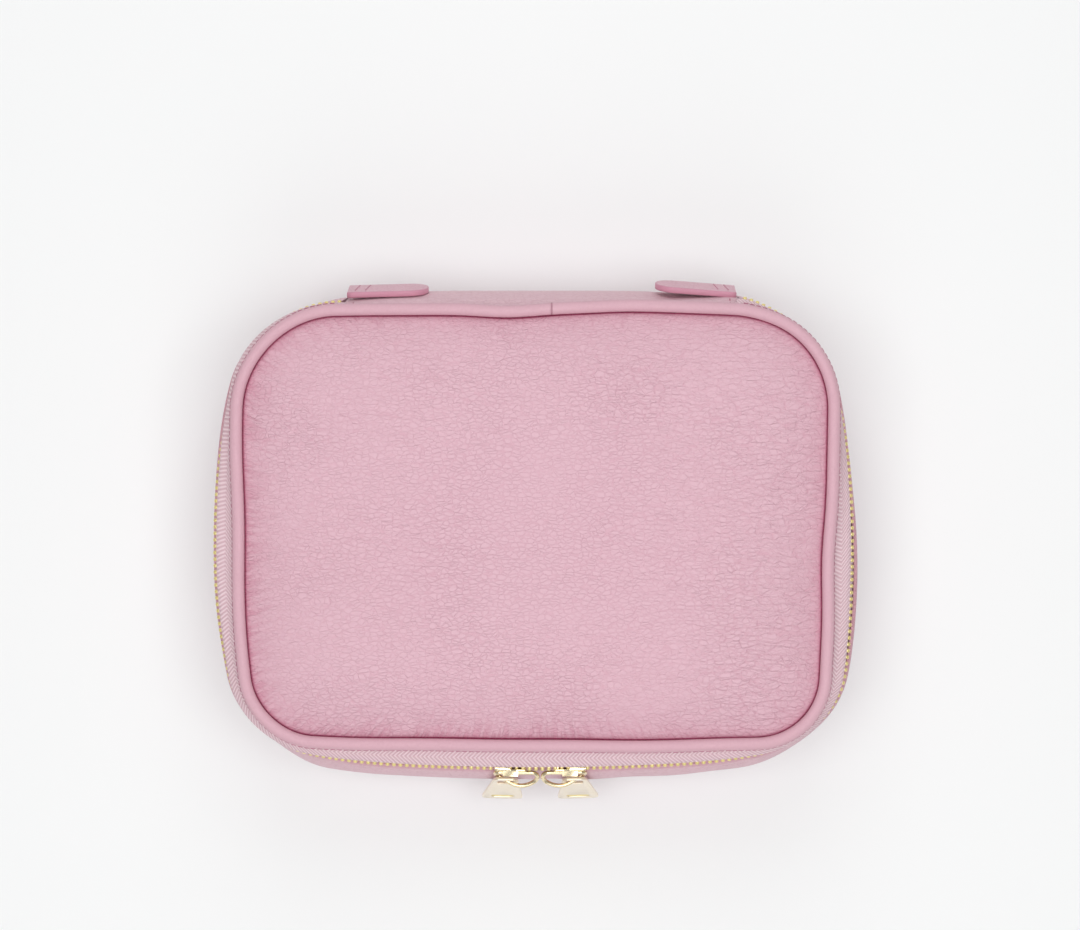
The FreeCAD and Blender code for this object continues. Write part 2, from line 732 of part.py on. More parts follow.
def build_tag(label, side):
    """A flat pull that widens to its foot, with a slot for the link and a plain oval window."""
    body = new_body(label)
    top = [(1, "wire_radius"), (1, "bore_play"), (1, "tag_bar")]
    foot_z = [(-1, "tag_length")]
    half_top, half_low = [(0.5, "tag_top_width")], [(0.5, "tag_low_width")]
    half_back = [(-0.5, "tag_thickness")]
    sketch = new_sketch(body, label + "_outline", "XZ_Plane", half_back)
    draw_polygon(sketch, [(negated(half_top), top), (negated(half_low), foot_z), (half_low, foot_z),
                          (half_top, top)])
    blank = add_pad(body, label + "_blank", sketch, [(1, "tag_thickness")])
    add_fillet(body, label + "_corners", blank, "tag_round", runs_along(Vec(0, 1, 0)))

    half_slot = [(0.5, "slot_width")]
    slot_top = [(1, "wire_radius"), (1, "bore_play")]
    slot_low = slot_top + [(-1, "slot_length")]
    sketch = new_sketch(body, label + "_slot_sketch", "XZ_Plane")
    draw_polygon(sketch, [(negated(half_slot), slot_low), (half_slot, slot_low), (half_slot, slot_top),
                          (negated(half_slot), slot_top)])
    add_through_cut(body, label + "_slot", sketch)

    sketch = new_sketch(body, label + "_window_sketch", "XZ_Plane")
    window_z = [(-1, "tag_length"), (1, "window_rise")]
    reach = [(0.5, "window_width"), (-0.5, "window_depth")]
    draw_stadium(sketch, reach, window_z, [(0.5, "window_depth")])
    add_through_cut(body, label + "_window", sketch)
    tilt = FreeCAD.Rotation(X_AXIS, -size("tag_tilt_angle"))
    lean = FreeCAD.Rotation(Vec(0, 1, 0), -side * size("tag_lean_angle"))
    hang = FreeCAD.Placement(tag_pivot(side), tilt.multiply(lean))
    body.Placement = bar_place(side).multiply(hang)
    return body


def build_tab(label, side):
    """A thick leather strip sewn over the zip's end, its round free end towards the middle."""
    body = new_body(label)
    outer_x = NOTHING
    inner_x = mirrored([(-1, "tab_length")], side)
    low, high = [(-1, "tab_width")], NOTHING
    sketch = new_sketch(body, label + "_outline", "XZ_Plane", [(-1, "tab_thickness")])
    draw_polygon(sketch, [(outer_x, low), (inner_x, low), (inner_x, high), (outer_x, high)])
    strip = add_pad(body, label + "_strip", sketch, [(1, "tab_thickness")])
    free_end = side * -size("tab_length")

    def at_free_end(edge):
        return runs_along(Vec(0, 1, 0))(edge) and abs(edge.Vertexes[0].Point.x - free_end) < clear

    add_fillet(body, label + "_end", strip, "tab_round", at_free_end)
    lean = FreeCAD.Rotation(X_AXIS, size("tab_lean_angle"))
    lift = FreeCAD.Rotation(Z_AXIS, -side * size("tab_lift_angle"))
    reach = (spine_top - clear - wall_top) * math.tan(math.radians(size("tab_lean_angle")))
    seat = Vec(zip_shift + side * (zip_end_x - gap), rim_y + clear - reach, spine_top - clear)
    body.Placement = FreeCAD.Placement(seat, lift.multiply(lean))
    return body


SIDES = (("left", -1), ("right", 1))
for word, side in SIDES:
    build_tab(word + "_tab", side)
    build_slider(word + "_slider", side)
    build_link(word + "_link", side)
    build_tag(word + "_tag", side)

doc.recompute()

# Check every object, then write one file for each sub-part

PART_TYPES = ("Part::Feature", "PartDesign::Body")
sub_parts = [item for item in doc.Objects if item.TypeId in PART_TYPES]
for item in doc.Objects:
    if "Invalid" in item.State or "Error" in item.State:
        raise RuntimeError(f"{item.Label} failed: {item.State}")
for item in sub_parts:
    if item.Shape.isNull() or not item.Shape.isValid() or not item.Shape.Solids:
        raise RuntimeError(f"{item.Label} has no valid solid")

os.makedirs("parts", exist_ok=True)
for item in sub_parts:
    item.Shape.exportStep(f"parts/{item.Label}.step")

box = Part.makeCompound([item.Shape for item in sub_parts]).BoundBox
print("nodes", len(sub_parts), "size", round(box.XLength, 1), round(box.YLength, 1), round(box.ZLength, 1))
print("lid hinge", round(axis_y, 3), round(zip_height, 3), "zip run centre", round(run_centre.y, 3))
for word, side in SIDES:
    place = bar_place(side)
    for name, spot, way in (("bar", Vec(), X_AXIS), ("foot", tag_pivot(side), foot_way(side))):
        at, along = place.multVec(spot), place.Rotation.multVec(way)
        print(word, name, [round(v, 4) for v in at], "way", [round(v, 5) for v in along])
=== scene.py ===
import bmesh
import bpy
import numpy as np
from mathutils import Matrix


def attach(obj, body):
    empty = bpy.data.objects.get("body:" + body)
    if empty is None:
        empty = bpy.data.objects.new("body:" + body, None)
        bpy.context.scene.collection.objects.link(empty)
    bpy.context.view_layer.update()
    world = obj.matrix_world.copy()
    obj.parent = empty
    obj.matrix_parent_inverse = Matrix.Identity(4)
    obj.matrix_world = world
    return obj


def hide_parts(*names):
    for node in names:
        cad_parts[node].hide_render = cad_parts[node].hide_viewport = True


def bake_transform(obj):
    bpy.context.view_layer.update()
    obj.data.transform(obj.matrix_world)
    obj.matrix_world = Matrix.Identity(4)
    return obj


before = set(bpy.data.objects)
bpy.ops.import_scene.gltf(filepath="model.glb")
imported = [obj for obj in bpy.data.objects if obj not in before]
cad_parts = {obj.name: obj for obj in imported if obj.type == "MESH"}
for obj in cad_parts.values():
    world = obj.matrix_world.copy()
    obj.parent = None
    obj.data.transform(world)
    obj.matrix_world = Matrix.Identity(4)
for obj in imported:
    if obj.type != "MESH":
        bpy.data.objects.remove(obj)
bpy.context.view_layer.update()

mm = 0.001


# Underside
# The stiffened bottom panel, a flat board covered with the case's pebbled leather.
# It is cut to the foot's plan and sewn into the lower piping.

class Value:
    """A shader socket that takes plain arithmetic: each operation adds one Math node."""

    def __init__(self, finish, socket):
        self.finish = finish
        self.socket = socket

    def math(self, operation, first, second):
        """One Math node on two values or numbers."""
        return self.finish.node("ShaderNodeMath", {"operation": operation}, {0: first, 1: second})

    def __add__(self, other):
        return self.math("ADD", self, other)

    __radd__ = __add__

    def __sub__(self, other):
        return self.math("SUBTRACT", self, other)

    def __rsub__(self, other):
        return self.math("SUBTRACT", other, self)

    def __mul__(self, other):
        return self.math("MULTIPLY", self, other)

    __rmul__ = __mul__

    def wave(self):
        """Sine of the value."""
        return self.math("SINE", self, 0.0)

    def size(self):
        """The value without its sign."""
        return self.math("ABSOLUTE", self, 0.0)

    def fold(self, length):
        """Zigzag between 0 and length."""
        return self.math("PINGPONG", self, length)

    def step(self, low, high):
        """Smooth change from 0 at low to 1 at high."""
        return self.finish.node("ShaderNodeMapRange", {"interpolation_type": "SMOOTHSTEP"},
                                {"Value": self, "From Min": low, "From Max": high})


class Finish:
    """A material with one Principled shader; node() adds any other node."""

    def __init__(self, name, fixed):
        self.material = bpy.data.materials.new(name)
        self.material.use_nodes = True
        self.tree = self.material.node_tree
        self.shader = self.tree.nodes["Principled BSDF"]
        for socket, value in fixed.items():
            self.shader.inputs[socket].default_value = value
        self.place = self.node("ShaderNodeTexCoord", {}, {}, "Object")

    def node(self, kind, settings, inputs, output=0):
        """Add a node of a type with its settings, then the values or links of its sockets."""
        made = self.tree.nodes.new(kind)
        for name, value in settings.items():
            setattr(made, name, value)
        for socket, value in inputs.items():
            if isinstance(value, Value):
                self.tree.links.new(value.socket, made.inputs[socket])
            else:
                made.inputs[socket].default_value = value
        return Value(self, made.outputs[output])

    def noise(self, size, detail=3.0, place=None, output="Fac"):
        """Cloudy value near 0.5, or cloudy colour, with features of a size in metres."""
        return self.node("ShaderNodeTexNoise", {},
                         {"Vector": place or self.place, "Scale": 1 / size, "Detail": detail}, output)

    def cells(self, place, size):
        """Distance from the edges of irregular cells of a size in metres, as a share of that size."""
        return self.node("ShaderNodeTexVoronoi", {"feature": "DISTANCE_TO_EDGE"},
                         {"Vector": place, "Scale": 1 / size}, "Distance")

    def parts(self, vector):
        """The three numbers of a vector."""
        outputs = self.node("ShaderNodeSeparateXYZ", {}, {0: vector}).socket.node.outputs
        return [Value(self, output) for output in outputs]

    def stretched(self, vector, by):
        """A vector with each number multiplied by its own factor."""
        return self.node("ShaderNodeVectorMath", {"operation": "MULTIPLY"}, {0: vector, 1: by}, "Vector")

    def attribute(self, name):
        """The piece's own value of that name at each point."""
        return self.node("ShaderNodeAttribute", {"attribute_name": name}, {}, "Fac")

    def mapped(self, name):
        """The piece's own map of that name, in metres."""
        return self.node("ShaderNodeUVMap", {"uv_map": name}, {}, "UV")

    def blend(self, share, first, second):
        """Colour between two colours."""
        return self.node("ShaderNodeMix", {"data_type": "RGBA"}, {0: share, 6: first, 7: second}, 2)

    def paint(self, colour, roughness=None, height=None, depth=0.0):
        """Link colour, roughness and a bump of a depth in metres to the shader."""
        self.tree.links.new(colour.socket, self.shader.inputs["Base Color"])
        if roughness is not None:
            self.tree.links.new(roughness.socket, self.shader.inputs["Roughness"])
        if height is not None:
            bump = self.node("ShaderNodeBump", {}, {"Height": height, "Distance": depth, "Strength": 1.0})
            self.tree.links.new(bump.socket, self.shader.inputs["Normal"])
        return self.material


def srgb(red, green, blue):
    """Linear colour of an 8-bit screen colour."""
    shares = np.array([red, green, blue]) / 255
    linear = np.where(shares <= 0.04045, shares / 12.92, ((shares + 0.055) / 1.055) ** 2.4)
    return (*linear.tolist(), 1.0)


def pebbled(name, light, dark, pale_seam_shade, shade):
    """Milled calf: smooth pebbles between fine creases, and long level wrinkles that come and go.

    The attribute seam is 1 where the leather dips into a seam: there the colour turns to painted shade,
    first pale pink, then deep.
    The attribute pull is the strength of the short puckers across the seam. The map pucker runs along
    the seam and away from it.
    """
    pebble, crease_depth = 1.9 * mm, 0.15 * mm
    finish = Finish(name, {"Specular IOR Level": 0.3})
    wander = finish.noise(2.5 * pebble, 2.0, output="Color")
    shift = finish.node("ShaderNodeVectorMath", {"operation": "MULTIPLY_ADD"},
                        {0: wander, 1: (1.3 * pebble,) * 3, 2: finish.place}, "Vector")
    crease = 1 - finish.cells(finish.stretched(shift, (0.72, 1.3, 1.0)), pebble).step(0.0, 0.14)
    wrinkle = 1 - finish.cells(finish.stretched(shift, (0.34, 1.25, 1.0)), 1.5 * pebble).step(0.0, 0.1)
    worn = finish.noise(40 * mm, 3.0).step(0.25, 0.75)
    east = finish.parts(finish.place)[0]
    drawn_level = 0.6 * finish.noise(50 * mm, 2.0).step(0.3, 0.8) + 0.7 * east.step(10 * mm, 100 * mm)
    pore = finish.noise(0.45 * mm, 2.0)
    beside = finish.stretched(finish.mapped("pucker"), (1.0, 0.16, 1.0))
    pucker = finish.noise(1.9 * mm, 2.0, beside).step(0.4, 0.62) * finish.attribute("pull")
    lines = crease * (0.55 + 0.4 * worn) + wrinkle * (0.2 + 0.7 * drawn_level) + 2.4 * pucker
    tone = finish.blend(finish.noise(60 * mm, 2.0), light, finish.blend(0.06, light, dark))
    seam = finish.attribute("seam")
    # Painted shade: creases, wrinkles and puckers darken the colour on top of their bump, and the seam turns
    # it pale pink, then deep.
    colour = finish.blend(seam, finish.blend(lines * 0.18 + 0.06 * pore, tone, dark), pale_seam_shade)
    colour = finish.blend(seam.step(0.8, 1.0), colour, shade)
    return finish.paint(colour, 0.5 + 0.08 * lines + 0.06 * pore, 0.1 * pore - lines, crease_depth)


# The last two colours are painted shade for the leather's dip beside a seam.
calf = pebbled("pebbled_calf", srgb(222, 183, 195), srgb(192, 116, 140), srgb(196, 128, 150),
               srgb(140, 58, 84))
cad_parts["base_panel"].data.materials.clear()
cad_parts["base_panel"].data.materials.append(calf)


# Lower piping
# A bead of leather folded round a cord and caught in the seam between the bottom and the wall.
# It follows the foot's plan all the way round and carries the case on the table.

def grown(plan, by):
    """The parallel plan that lies further out by a distance; only the widest point's place stays."""
    return plan + by * np.array([1, 0, 1, 1, 1, 1, 1, 1])


def outline(plan, fineness=1):
    """Points and outward normals of a plan, clockwise from the middle of the back.

    The plan holds half width, height of the widest point, side bow radius, front depth, front bow
    radius, front corner, rear depth and rear corner. Each arc is centre + radius * (cos, sin),
    and the left half mirrors the right one.
    """
    half, widest, side_bow, front, front_bow, front_corner, rear, rear_corner = plan
    side = np.array([half - side_bow, widest])
    bow = np.array([0.0, front_bow - front])
    span = np.hypot(*(bow - side))
    unit = (bow - side) / span
    reach_side, reach_front = side_bow - front_corner, front_bow - front_corner
    along = (reach_side ** 2 - reach_front ** 2 + span ** 2) / (2 * span)
    low = side + unit * along + np.array([unit[1], -unit[0]]) * np.sqrt(reach_side ** 2 - along ** 2)
    high_y = rear - rear_corner
    high = np.array([side[0] + np.sqrt((side_bow - rear_corner) ** 2 - (high_y - widest) ** 2), high_y])
    turn_high = np.arctan2(*(high - side)[::-1])
    turn_low = np.arctan2(*(low - side)[::-1])
    turn_front = np.arctan2(*(low - bow)[::-1])
    share = [np.linspace(0, 1, count * fineness, endpoint=False)[:, None] for count in (30, 24, 60, 26, 44)]
    back = np.hstack([share[0] * high[0], np.full_like(share[0], rear)])
    points, normals = [back], [np.tile([0.0, 1.0], (len(back), 1))]
    arcs = ((high, rear_corner, np.pi / 2, turn_high), (side, side_bow, turn_high, turn_low),
            (low, front_corner, turn_low, turn_front), (bow, front_bow, turn_front, -np.pi / 2))
    for part, (centre, radius, start, end) in zip(share[1:], arcs):
        turn = start + (end - start) * part
        way = np.hstack([np.cos(turn), np.sin(turn)])
        points.append(centre + radius * way)
        normals.append(way)
    right, right_way = np.vstack(points), np.vstack(normals)
    middle, middle_way = np.array([[0.0, -front]]), np.array([[0.0, -1.0]])
    mirror = np.array([-1.0, 1.0])
    return (np.vstack([right, middle, right[:0:-1] * mirror]),
            np.vstack([right_way, middle_way, right_way[:0:-1] * mirror]))


def drawn_in(flat, out, dents):
    """A path moved along its normals by dents of (angle, width, depth): depth * exp(-(away / width)^2)."""
    angle = np.degrees(np.arctan2(flat[:, 1], flat[:, 0]))
    move = np.zeros(len(flat))
    for at, width, depth in dents:
        away = (angle - at + 180) % 360 - 180
        move += depth * mm * np.exp(-(away / width) ** 2)
    return flat + out * move[:, None]


def closed_piece(name, mesh, finish, merge=False):
    """An object of one mesh with its faces turned outwards, smooth shading and one material."""
    shell = bmesh.new()
    shell.from_mesh(mesh)
    if merge:
        bmesh.ops.remove_doubles(shell, verts=shell.verts, dist=1e-6)
    bmesh.ops.recalc_face_normals(shell, faces=shell.faces)
    shell.to_mesh(mesh)
    shell.free()
    mesh.polygons.foreach_set("use_smooth", [True] * len(mesh.polygons))
    mesh.materials.append(finish)
    piece = bpy.data.objects.new(name, mesh)
    bpy.context.scene.collection.objects.link(piece)
    return piece


def surface(name, points, finish, round_path=True, round_profile=True, uv=None, uv_name="weave"):
    """A closed skin of quads over a grid of points: rows run round the profile, columns along the path.

    A path or profile that isn't round gets flat ends.
    """
    rows, columns = points.shape[:2]
    row, column = np.meshgrid(np.arange(rows if round_profile else rows - 1),
                              np.arange(columns if round_path else columns - 1), indexing="ij")
    row, column = row.ravel(), column.ravel()
    next_row, next_column = (row + 1) % rows, (column + 1) % columns
    faces = np.stack([row * columns + column, row * columns + next_column,
                      next_row * columns + next_column, next_row * columns + column], 1).tolist()
    if round_profile and not round_path:
        faces.append([index * columns for index in range(rows)])
        faces.append([index * columns + columns - 1 for index in range(rows)])
    if not round_profile:
        faces.append(list(range(columns)))
        faces.append(list(range((rows - 1) * columns, rows * columns)))
    mesh = bpy.data.meshes.new(name)
    mesh.from_pydata(points.reshape(-1, 3).tolist(), [], faces)
    if uv is not None:
        corners = np.stack([uv[row, column], uv[row, column + 1], uv[row + 1, column + 1],
                            uv[row + 1, column]], 1).reshape(-1, 2)
        flat = np.zeros((len(mesh.loops), 2))
        flat[:len(corners)] = corners
        mesh.uv_layers.new(name=uv_name).data.foreach_set("uv", flat.ravel())
    return closed_piece(name, mesh, finish)


def carried(path, way, height, profile):
    """A profile of (out, up) offsets carried along a path: path + way * out, height + up."""
    out, up = profile[:, 0][:, None], profile[:, 1][:, None]
    flat = path[None] + way[None] * out[..., None]
    level = np.broadcast_to(height + up, flat.shape[:2])
    return np.concatenate([flat, level[..., None]], 2)


def smooth_calf(name, light, dark):
    """Thin smooth calf with a fine grain, for beads; its ends meet at the back in a thin dark line."""
    joint_place = 6.4 * mm
    finish = Finish(name, {"Specular IOR Level": 0.35})
    grain = finish.noise(0.8 * mm, 4.0)
    cloud = finish.noise(14 * mm, 3.0)
    east, north, _ = finish.parts(finish.place)
    off_joint = (east - joint_place).size()
    joint = (1 - off_joint.step(0.1 * mm, 0.45 * mm)) * north.step(70 * mm, 75 * mm)
    colour = finish.blend((grain - 0.4) * 0.9, light, finish.blend(cloud, light, dark))
    colour = finish.blend(joint * 0.55, colour, srgb(150, 84, 104))
    return finish.paint(colour, 0.44 + 0.2 * grain, grain - 2 * joint, 0.12 * mm)


lid_plan = np.array([111, 36, 1560, 81, 3240, 25, 81, 36]) * mm
foot_plan = grown(lid_plan, 2.0 * mm)
piping_radius, bead_gap, lower_bead_z = 2.3 * mm, 0.15 * mm, 2.6 * mm
bead_turn = np.linspace(0, 2 * np.pi, 20, endpoint=False)
bead = piping_radius * np.stack([np.cos(bead_turn), np.sin(bead_turn)], 1)
bead_calf = smooth_calf("rolled_calf", srgb(215, 172, 184), srgb(194, 142, 158))
path, way = outline(grown(foot_plan, piping_radius + bead_gap))
lower_piping = surface("lower_piping", carried(path, way, lower_bead_z, bead), bead_calf)
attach(lower_piping, "base")
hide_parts("base_piping")


# Wall
# The gusset: one long strip of pebbled leather, bellied over its stiffener, with a turned upper edge.
# It runs from one end of the zip round the front to the other, and is sewn to the lower piping.

zip_plan = np.array([122.1, -6, 305, 90.8, 960, 37.5, 87.2, 38.8]) * mm
belly_plan = zip_plan + np.array([3.0, 0, 0, 7.2, 0, 7.0, 4.5, 7.0]) * mm
leather = 1.5 * mm
rim_plan = grown(zip_plan, 0.65 * mm + leather)
wall_low, wall_belly, wall_high = 5.05 * mm, 34 * mm, 48.3 * mm
wall_base = grown(foot_plan, piping_radius + leather / 2)
BOWS = [2, 4]


def wall_plan(z):
    """The wall's outer plan at a height: the parabola through foot, belly and rim of every size.

    For the two BOWS of a plan, the curvature 1 / radius follows the parabola.
    """
    shares = ((z - wall_belly) * (z - wall_high) / ((wall_low - wall_belly) * (wall_low - wall_high)),
              (z - wall_low) * (z - wall_high) / ((wall_belly - wall_low) * (wall_belly - wall_high)),
              (z - wall_low) * (z - wall_belly) / ((wall_high - wall_low) * (wall_high - wall_belly)))
    levels = np.stack([wall_base, belly_plan, rim_plan])
    levels[:, BOWS] = 1 / levels[:, BOWS]
    mixed = np.array(shares) @ levels
    mixed[BOWS] = 1 / mixed[BOWS]
    return mixed


# Dents in the soft outline of wall, zip and teeth: angle and width in degrees, and depth in millimetres.
WALL_DENTS = ((42, 13, -4.3), (138, 13, -4.5), (12, 17, -1.8), (180, 20, -1.2), (205, 11, -1.6),
              (220, 9, -3.6), (320, 9, -2.6), (272, 6, -0.7), (49, 5, 1.5))
ZIP_DENTS = ((-10, 14, -1.5), (42, 13, -2.2), (138, 13, -2.3), (12, 17, -1.7), (180, 20, -1.1),
             (205, 11, -1.3), (220, 9, -1.6), (320, 9, -1.4), (49, 4, 1.7))
TUCK_DENTS = ZIP_DENTS + ((26, 8, -1.2), (36, 7, -1.5), (144, 10, -1.5), (159, 9, -1.3),
                          (215, 10, -1.7), (321, 8, -1.5))
dent_rise = 22 * mm


def smooth_step(share):
    """Smooth change from 0 to 1: 3 s^2 - 2 s^3 of the share, held between 0 and 1."""
    share = np.clip(share, 0, 1)
    return share * share * (3 - 2 * share)


def at_height(flat, level):
    """The points of a plan lifted to one height."""
    return np.column_stack([flat, np.full(len(flat), level)])


def wall_skin(inset, levels):
    """Rows of wall points at heights, each set in from the wall's outer face; dents grow with height."""
    rows = []
    for depth, level in zip(inset, levels):
        flat, out = outline(wall_plan(level))
        share = smooth_step((level - wall_low) / dent_rise)
        flat = flat + (drawn_in(flat, out, WALL_DENTS) - flat) * share
        rows.append(at_height(flat - out * depth, level))
    return np.stack(rows)


def without_back(rows, half_length):
    """The same rows cut open at the back between the zip's ends, half_length from their middle."""
    reach = np.abs(rows[0, :, 0] - zip_shift)
    kept = np.flatnonzero((reach >= half_length) | (rows[0, :, 1] <= 0))
    ends = []
    for inside, outside in ((kept[0] - 1, kept[0]), (kept[-1] + 1, kept[-1])):
        share = (half_length - reach[inside]) / (reach[outside] - reach[inside])
        ends.append((rows[:, inside] * (1 - share) + rows[:, outside] * share)[:, None])
    return np.concatenate([ends[0], rows[:, kept[0]:kept[-1] + 1], ends[1]], 1)


zip_shift, gusset_half = 2.6 * mm, 75 * mm
# Painted light: the wall and spine leather is the lid's calf made lighter, standing in for the light the
# walls miss.
wall_calf_painted_lighter = pebbled("wall_calf_painted_lighter", srgb(228, 194, 203), srgb(196, 140, 157), srgb(204, 140, 158),
                    srgb(184, 108, 132))
edge_turn = np.linspace(0, np.pi, 9)
edge_inset = leather / 2 * (1 - np.cos(edge_turn))
edge_rise = wall_high - leather / 2 + leather / 2 * np.sin(edge_turn)
outer_levels = np.linspace(wall_low, wall_high - leather / 2, 26)[:-1]
inner_levels = [44 * mm, 25 * mm, wall_low]
levels = np.concatenate([outer_levels, edge_rise, inner_levels])
inset = np.concatenate([np.zeros(len(outer_levels)), edge_inset, np.full(len(inner_levels), leather)])
gusset_rows = without_back(wall_skin(inset, levels), gusset_half)
crumple = np.random.default_rng(4)
gusset_foot = gusset_rows[0, :, :2]
gusset_along = np.cumsum(np.hypot(*np.diff(gusset_foot, axis=0, prepend=gusset_foot[:1]).T))
outer_share = np.clip((levels - wall_low) / (wall_high - wall_low), 0, 1) * (inset == 0)
swell = np.zeros(gusset_rows.shape[:2])
for place, width, depth in zip(crumple.uniform(0, gusset_along[-1], 44), crumple.uniform(5, 16, 44) * mm,
                               crumple.uniform(-0.45, 0.35, 44) * mm):
    ripple = np.exp(-((gusset_along - place) / width) ** 2)
    swell += depth * ripple[None] * np.sin(np.pi * outer_share)[:, None]
outwards = gusset_rows[..., :2] / np.linalg.norm(gusset_rows[..., :2], axis=2, keepdims=True)
gusset_rows[..., :2] += outwards * swell[..., None]
gusset = surface("gusset_leather", gusset_rows, wall_calf_painted_lighter, round_path=False)
# Painted shade: the turned top edge under the teeth takes half of the pale pink seam shade.
edge_seam_shade = 0.5 * smooth_step((levels - 46 * mm) / (1.6 * mm))
edge_seam_shade_layer = gusset.data.attributes.new("seam", "FLOAT", "POINT")
edge_seam_shade_layer.data.foreach_set("value", np.repeat(edge_seam_shade, gusset_rows.shape[1]))
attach(gusset, "base")
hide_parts("side_gusset")


# Spine
# The back of the case between the two tabs: one piece of leather from the lower to the upper piping.
# It folds at the height of the zip, and that fold is the lid's hinge.

LID_DENTS = ((97, 10, -1.3), (66, 11, 0.9), (120, 14, -0.4), (145, 14, -1.3), (178, 12, -1.0),
             (44, 6, -0.7), (12, 10, -0.4), (-6, 10, -1.7), (-24, 10, -0.6), (-46, 13, -0.9),
             (-85, 24, -1.2), (-118, 18, -1.3), (-144, 11, -1.9))
axis_y, axis_z = 87.2 * mm, 53 * mm
spine_half, spine_thick = 74.9 * mm, 1.3 * mm
spine_wall = np.array([[wall_plan(level)[6], level] for level in np.linspace(wall_low, 47.5 * mm, 18)])
# Above the wall the profile folds over the zip's height and climbs to the piping: y, z in millimetres.
spine_outer = np.vstack([spine_wall, np.array([[88.8, 49.3], [88.4, 50.6], [88.0, 51.8], [87.8, 53.0],
                                               [87.3, 54.2], [86.6, 55.4], [85.8, 56.8], [85.0, 58.1],
                                               [84.1, 59.4], [83.3, 60.5], [82.7, 61.3]]) * mm])
spine_way = np.gradient(spine_outer, axis=0)
spine_way = np.stack([spine_way[:, 1], -spine_way[:, 0]], 1) / np.hypot(*spine_way.T)[:, None]
spine_loop = np.vstack([spine_outer, (spine_outer - spine_way * spine_thick)[::-1]])
across = zip_shift + np.linspace(-spine_half, spine_half, 150)
fold = np.exp(-((spine_loop[:, 1] - 51 * mm) / (9 * mm)) ** 2)[:, None]
slack = np.zeros_like(across)
for place, width, depth in zip(crumple.uniform(-70, 70, 16) * mm, crumple.uniform(4, 13, 16) * mm,
                               crumple.uniform(-0.4, 0.3, 16) * mm):
    slack += depth * np.exp(-((across - place) / width) ** 2)
# The spine hangs with the dents of wall, zip and lid, each between its own heights in millimetres.
hang = np.zeros((len(spine_loop), len(across)))
for dents, back, heights, weights in ((WALL_DENTS, zip_plan[6], (5, 27, 46, 50), (0, 1, 1, 0)),
                                      (TUCK_DENTS, zip_plan[6], (46, 50, 54, 60), (0, 1, 1, 0)),
                                      (LID_DENTS, lid_plan[6], (52, 60, 70, 80), (0, 1, 1, 1))):
    straight = np.column_stack([across, np.full(len(across), back)])
    drift = drawn_in(straight, np.tile([0.0, 1.0], (len(across), 1)), dents)[:, 1] - back
    hang += np.interp(spine_loop[:, 1], np.array(heights) * mm, weights)[:, None] * drift[None]
spine_points = np.stack(np.broadcast_arrays(across[None], spine_loop[:, :1] + fold * slack[None] + hang,
                                            spine_loop[:, 1:]), 2)
spine = surface("spine_leather", spine_points, wall_calf_painted_lighter, round_path=False)
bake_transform(spine)
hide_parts("spine_panel", "hinge_strip")


# Boards, cords and lining
# Grey board stiffens the bottom, wall and lid; cotton cord fills the piping; woven cloth lines the inside.
# The flat ones and the lower cord only get their materials; the wall's two layers lie against its belly.

def distance_along(flat, closed):
    """Length along a path of points up to each point, and round to the start of a closed one."""
    steps = np.diff(np.vstack([flat, flat[:1]]) if closed else flat, axis=0)
    return np.concatenate([[0.0], np.cumsum(np.hypot(*steps.T))])


def woven_map(rows, closed=False):
    """u, v in metres over a band of rows: along its first row, and across the rows."""
    along = distance_along(rows[0, :, :2], closed)
    gaps = np.linalg.norm(np.diff(rows, axis=0, append=rows[:1]), axis=2).mean(1)
    over = np.concatenate([[0.0], np.cumsum(gaps)])
    return np.stack(np.meshgrid(along, over, indexing="xy"), 2)


def woven(name, light, dark, thread, mapped=False):
    """Plain weave: warp and weft threads pass over each other in turn, by place or by the map weave."""
    finish = Finish(name, {"Sheen Weight": 0.2})
    x, y, z = finish.parts(finish.mapped("weave") if mapped else finish.place)
    turn = np.pi / thread
    cross = ((x + z) * turn).wave() * ((y + z) * turn).wave()
    fuzz = finish.noise(0.5 * mm)
    colour = finish.blend(cross * 0.35 + fuzz * 0.6, light, dark)
    return finish.paint(colour, 0.80 + 0.1 * fuzz, cross + 0.4 * fuzz, 0.1 * mm)


def pressed_board(name, colour, other):
    """Grey board: short fibres in a flat sheet."""
    finish = Finish(name, {"Specular IOR Level": 0.2})
    fibre = finish.noise(1.5 * mm, 5.0)
    return finish.paint(finish.blend(fibre, colour, other), 0.85 + 0.1 * fibre, fibre, 0.05 * mm)


lining_cloth = woven("lining_cloth", srgb(222, 190, 198), srgb(192, 152, 163), 0.45 * mm)
wall_lining_cloth = woven("wall_lining_cloth", srgb(222, 190, 198), srgb(192, 152, 163), 0.45 * mm, True)
cord_cotton = woven("cord_cotton", srgb(232, 224, 212), srgb(205, 195, 182), 0.6 * mm)
grey_board = pressed_board("grey_board", srgb(176, 168, 158), srgb(150, 142, 132))
layer_rows = 14
for name, node, slot, finish, depth, thick, low, high in (
        ("wall_stiffener", "wall_board", "board", grey_board, 1.65, 1.2, 5.2, 44.3),
        ("wall_cloth", "wall_lining", "lining", wall_lining_cloth, 3.0, 0.6, 4.15, 48.0)):
    heights = np.linspace(low, high, layer_rows) * mm
    rows = np.concatenate([wall_skin(np.full(layer_rows, depth * mm), heights),
                           wall_skin(np.full(layer_rows, (depth + thick) * mm), heights[::-1])])
    layer = surface(name, rows, finish, uv=woven_map(rows, True))
    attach(layer, "base")
    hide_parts(node)
for name, finish in (("floor_lining", lining_cloth), ("lid_lining", lining_cloth),
                     ("base_piping_cord", cord_cotton), ("base_board", grey_board),
                     ("lid_board", grey_board)):
    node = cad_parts[name]
    node.data.materials.clear()
    node.data.materials.append(finish)


# Lower zip tape
# Herringbone tape sewn behind the gusset's turned edge; the lower row of teeth is crimped on its free edge.
# It shows as a narrow band between the leather and the teeth.

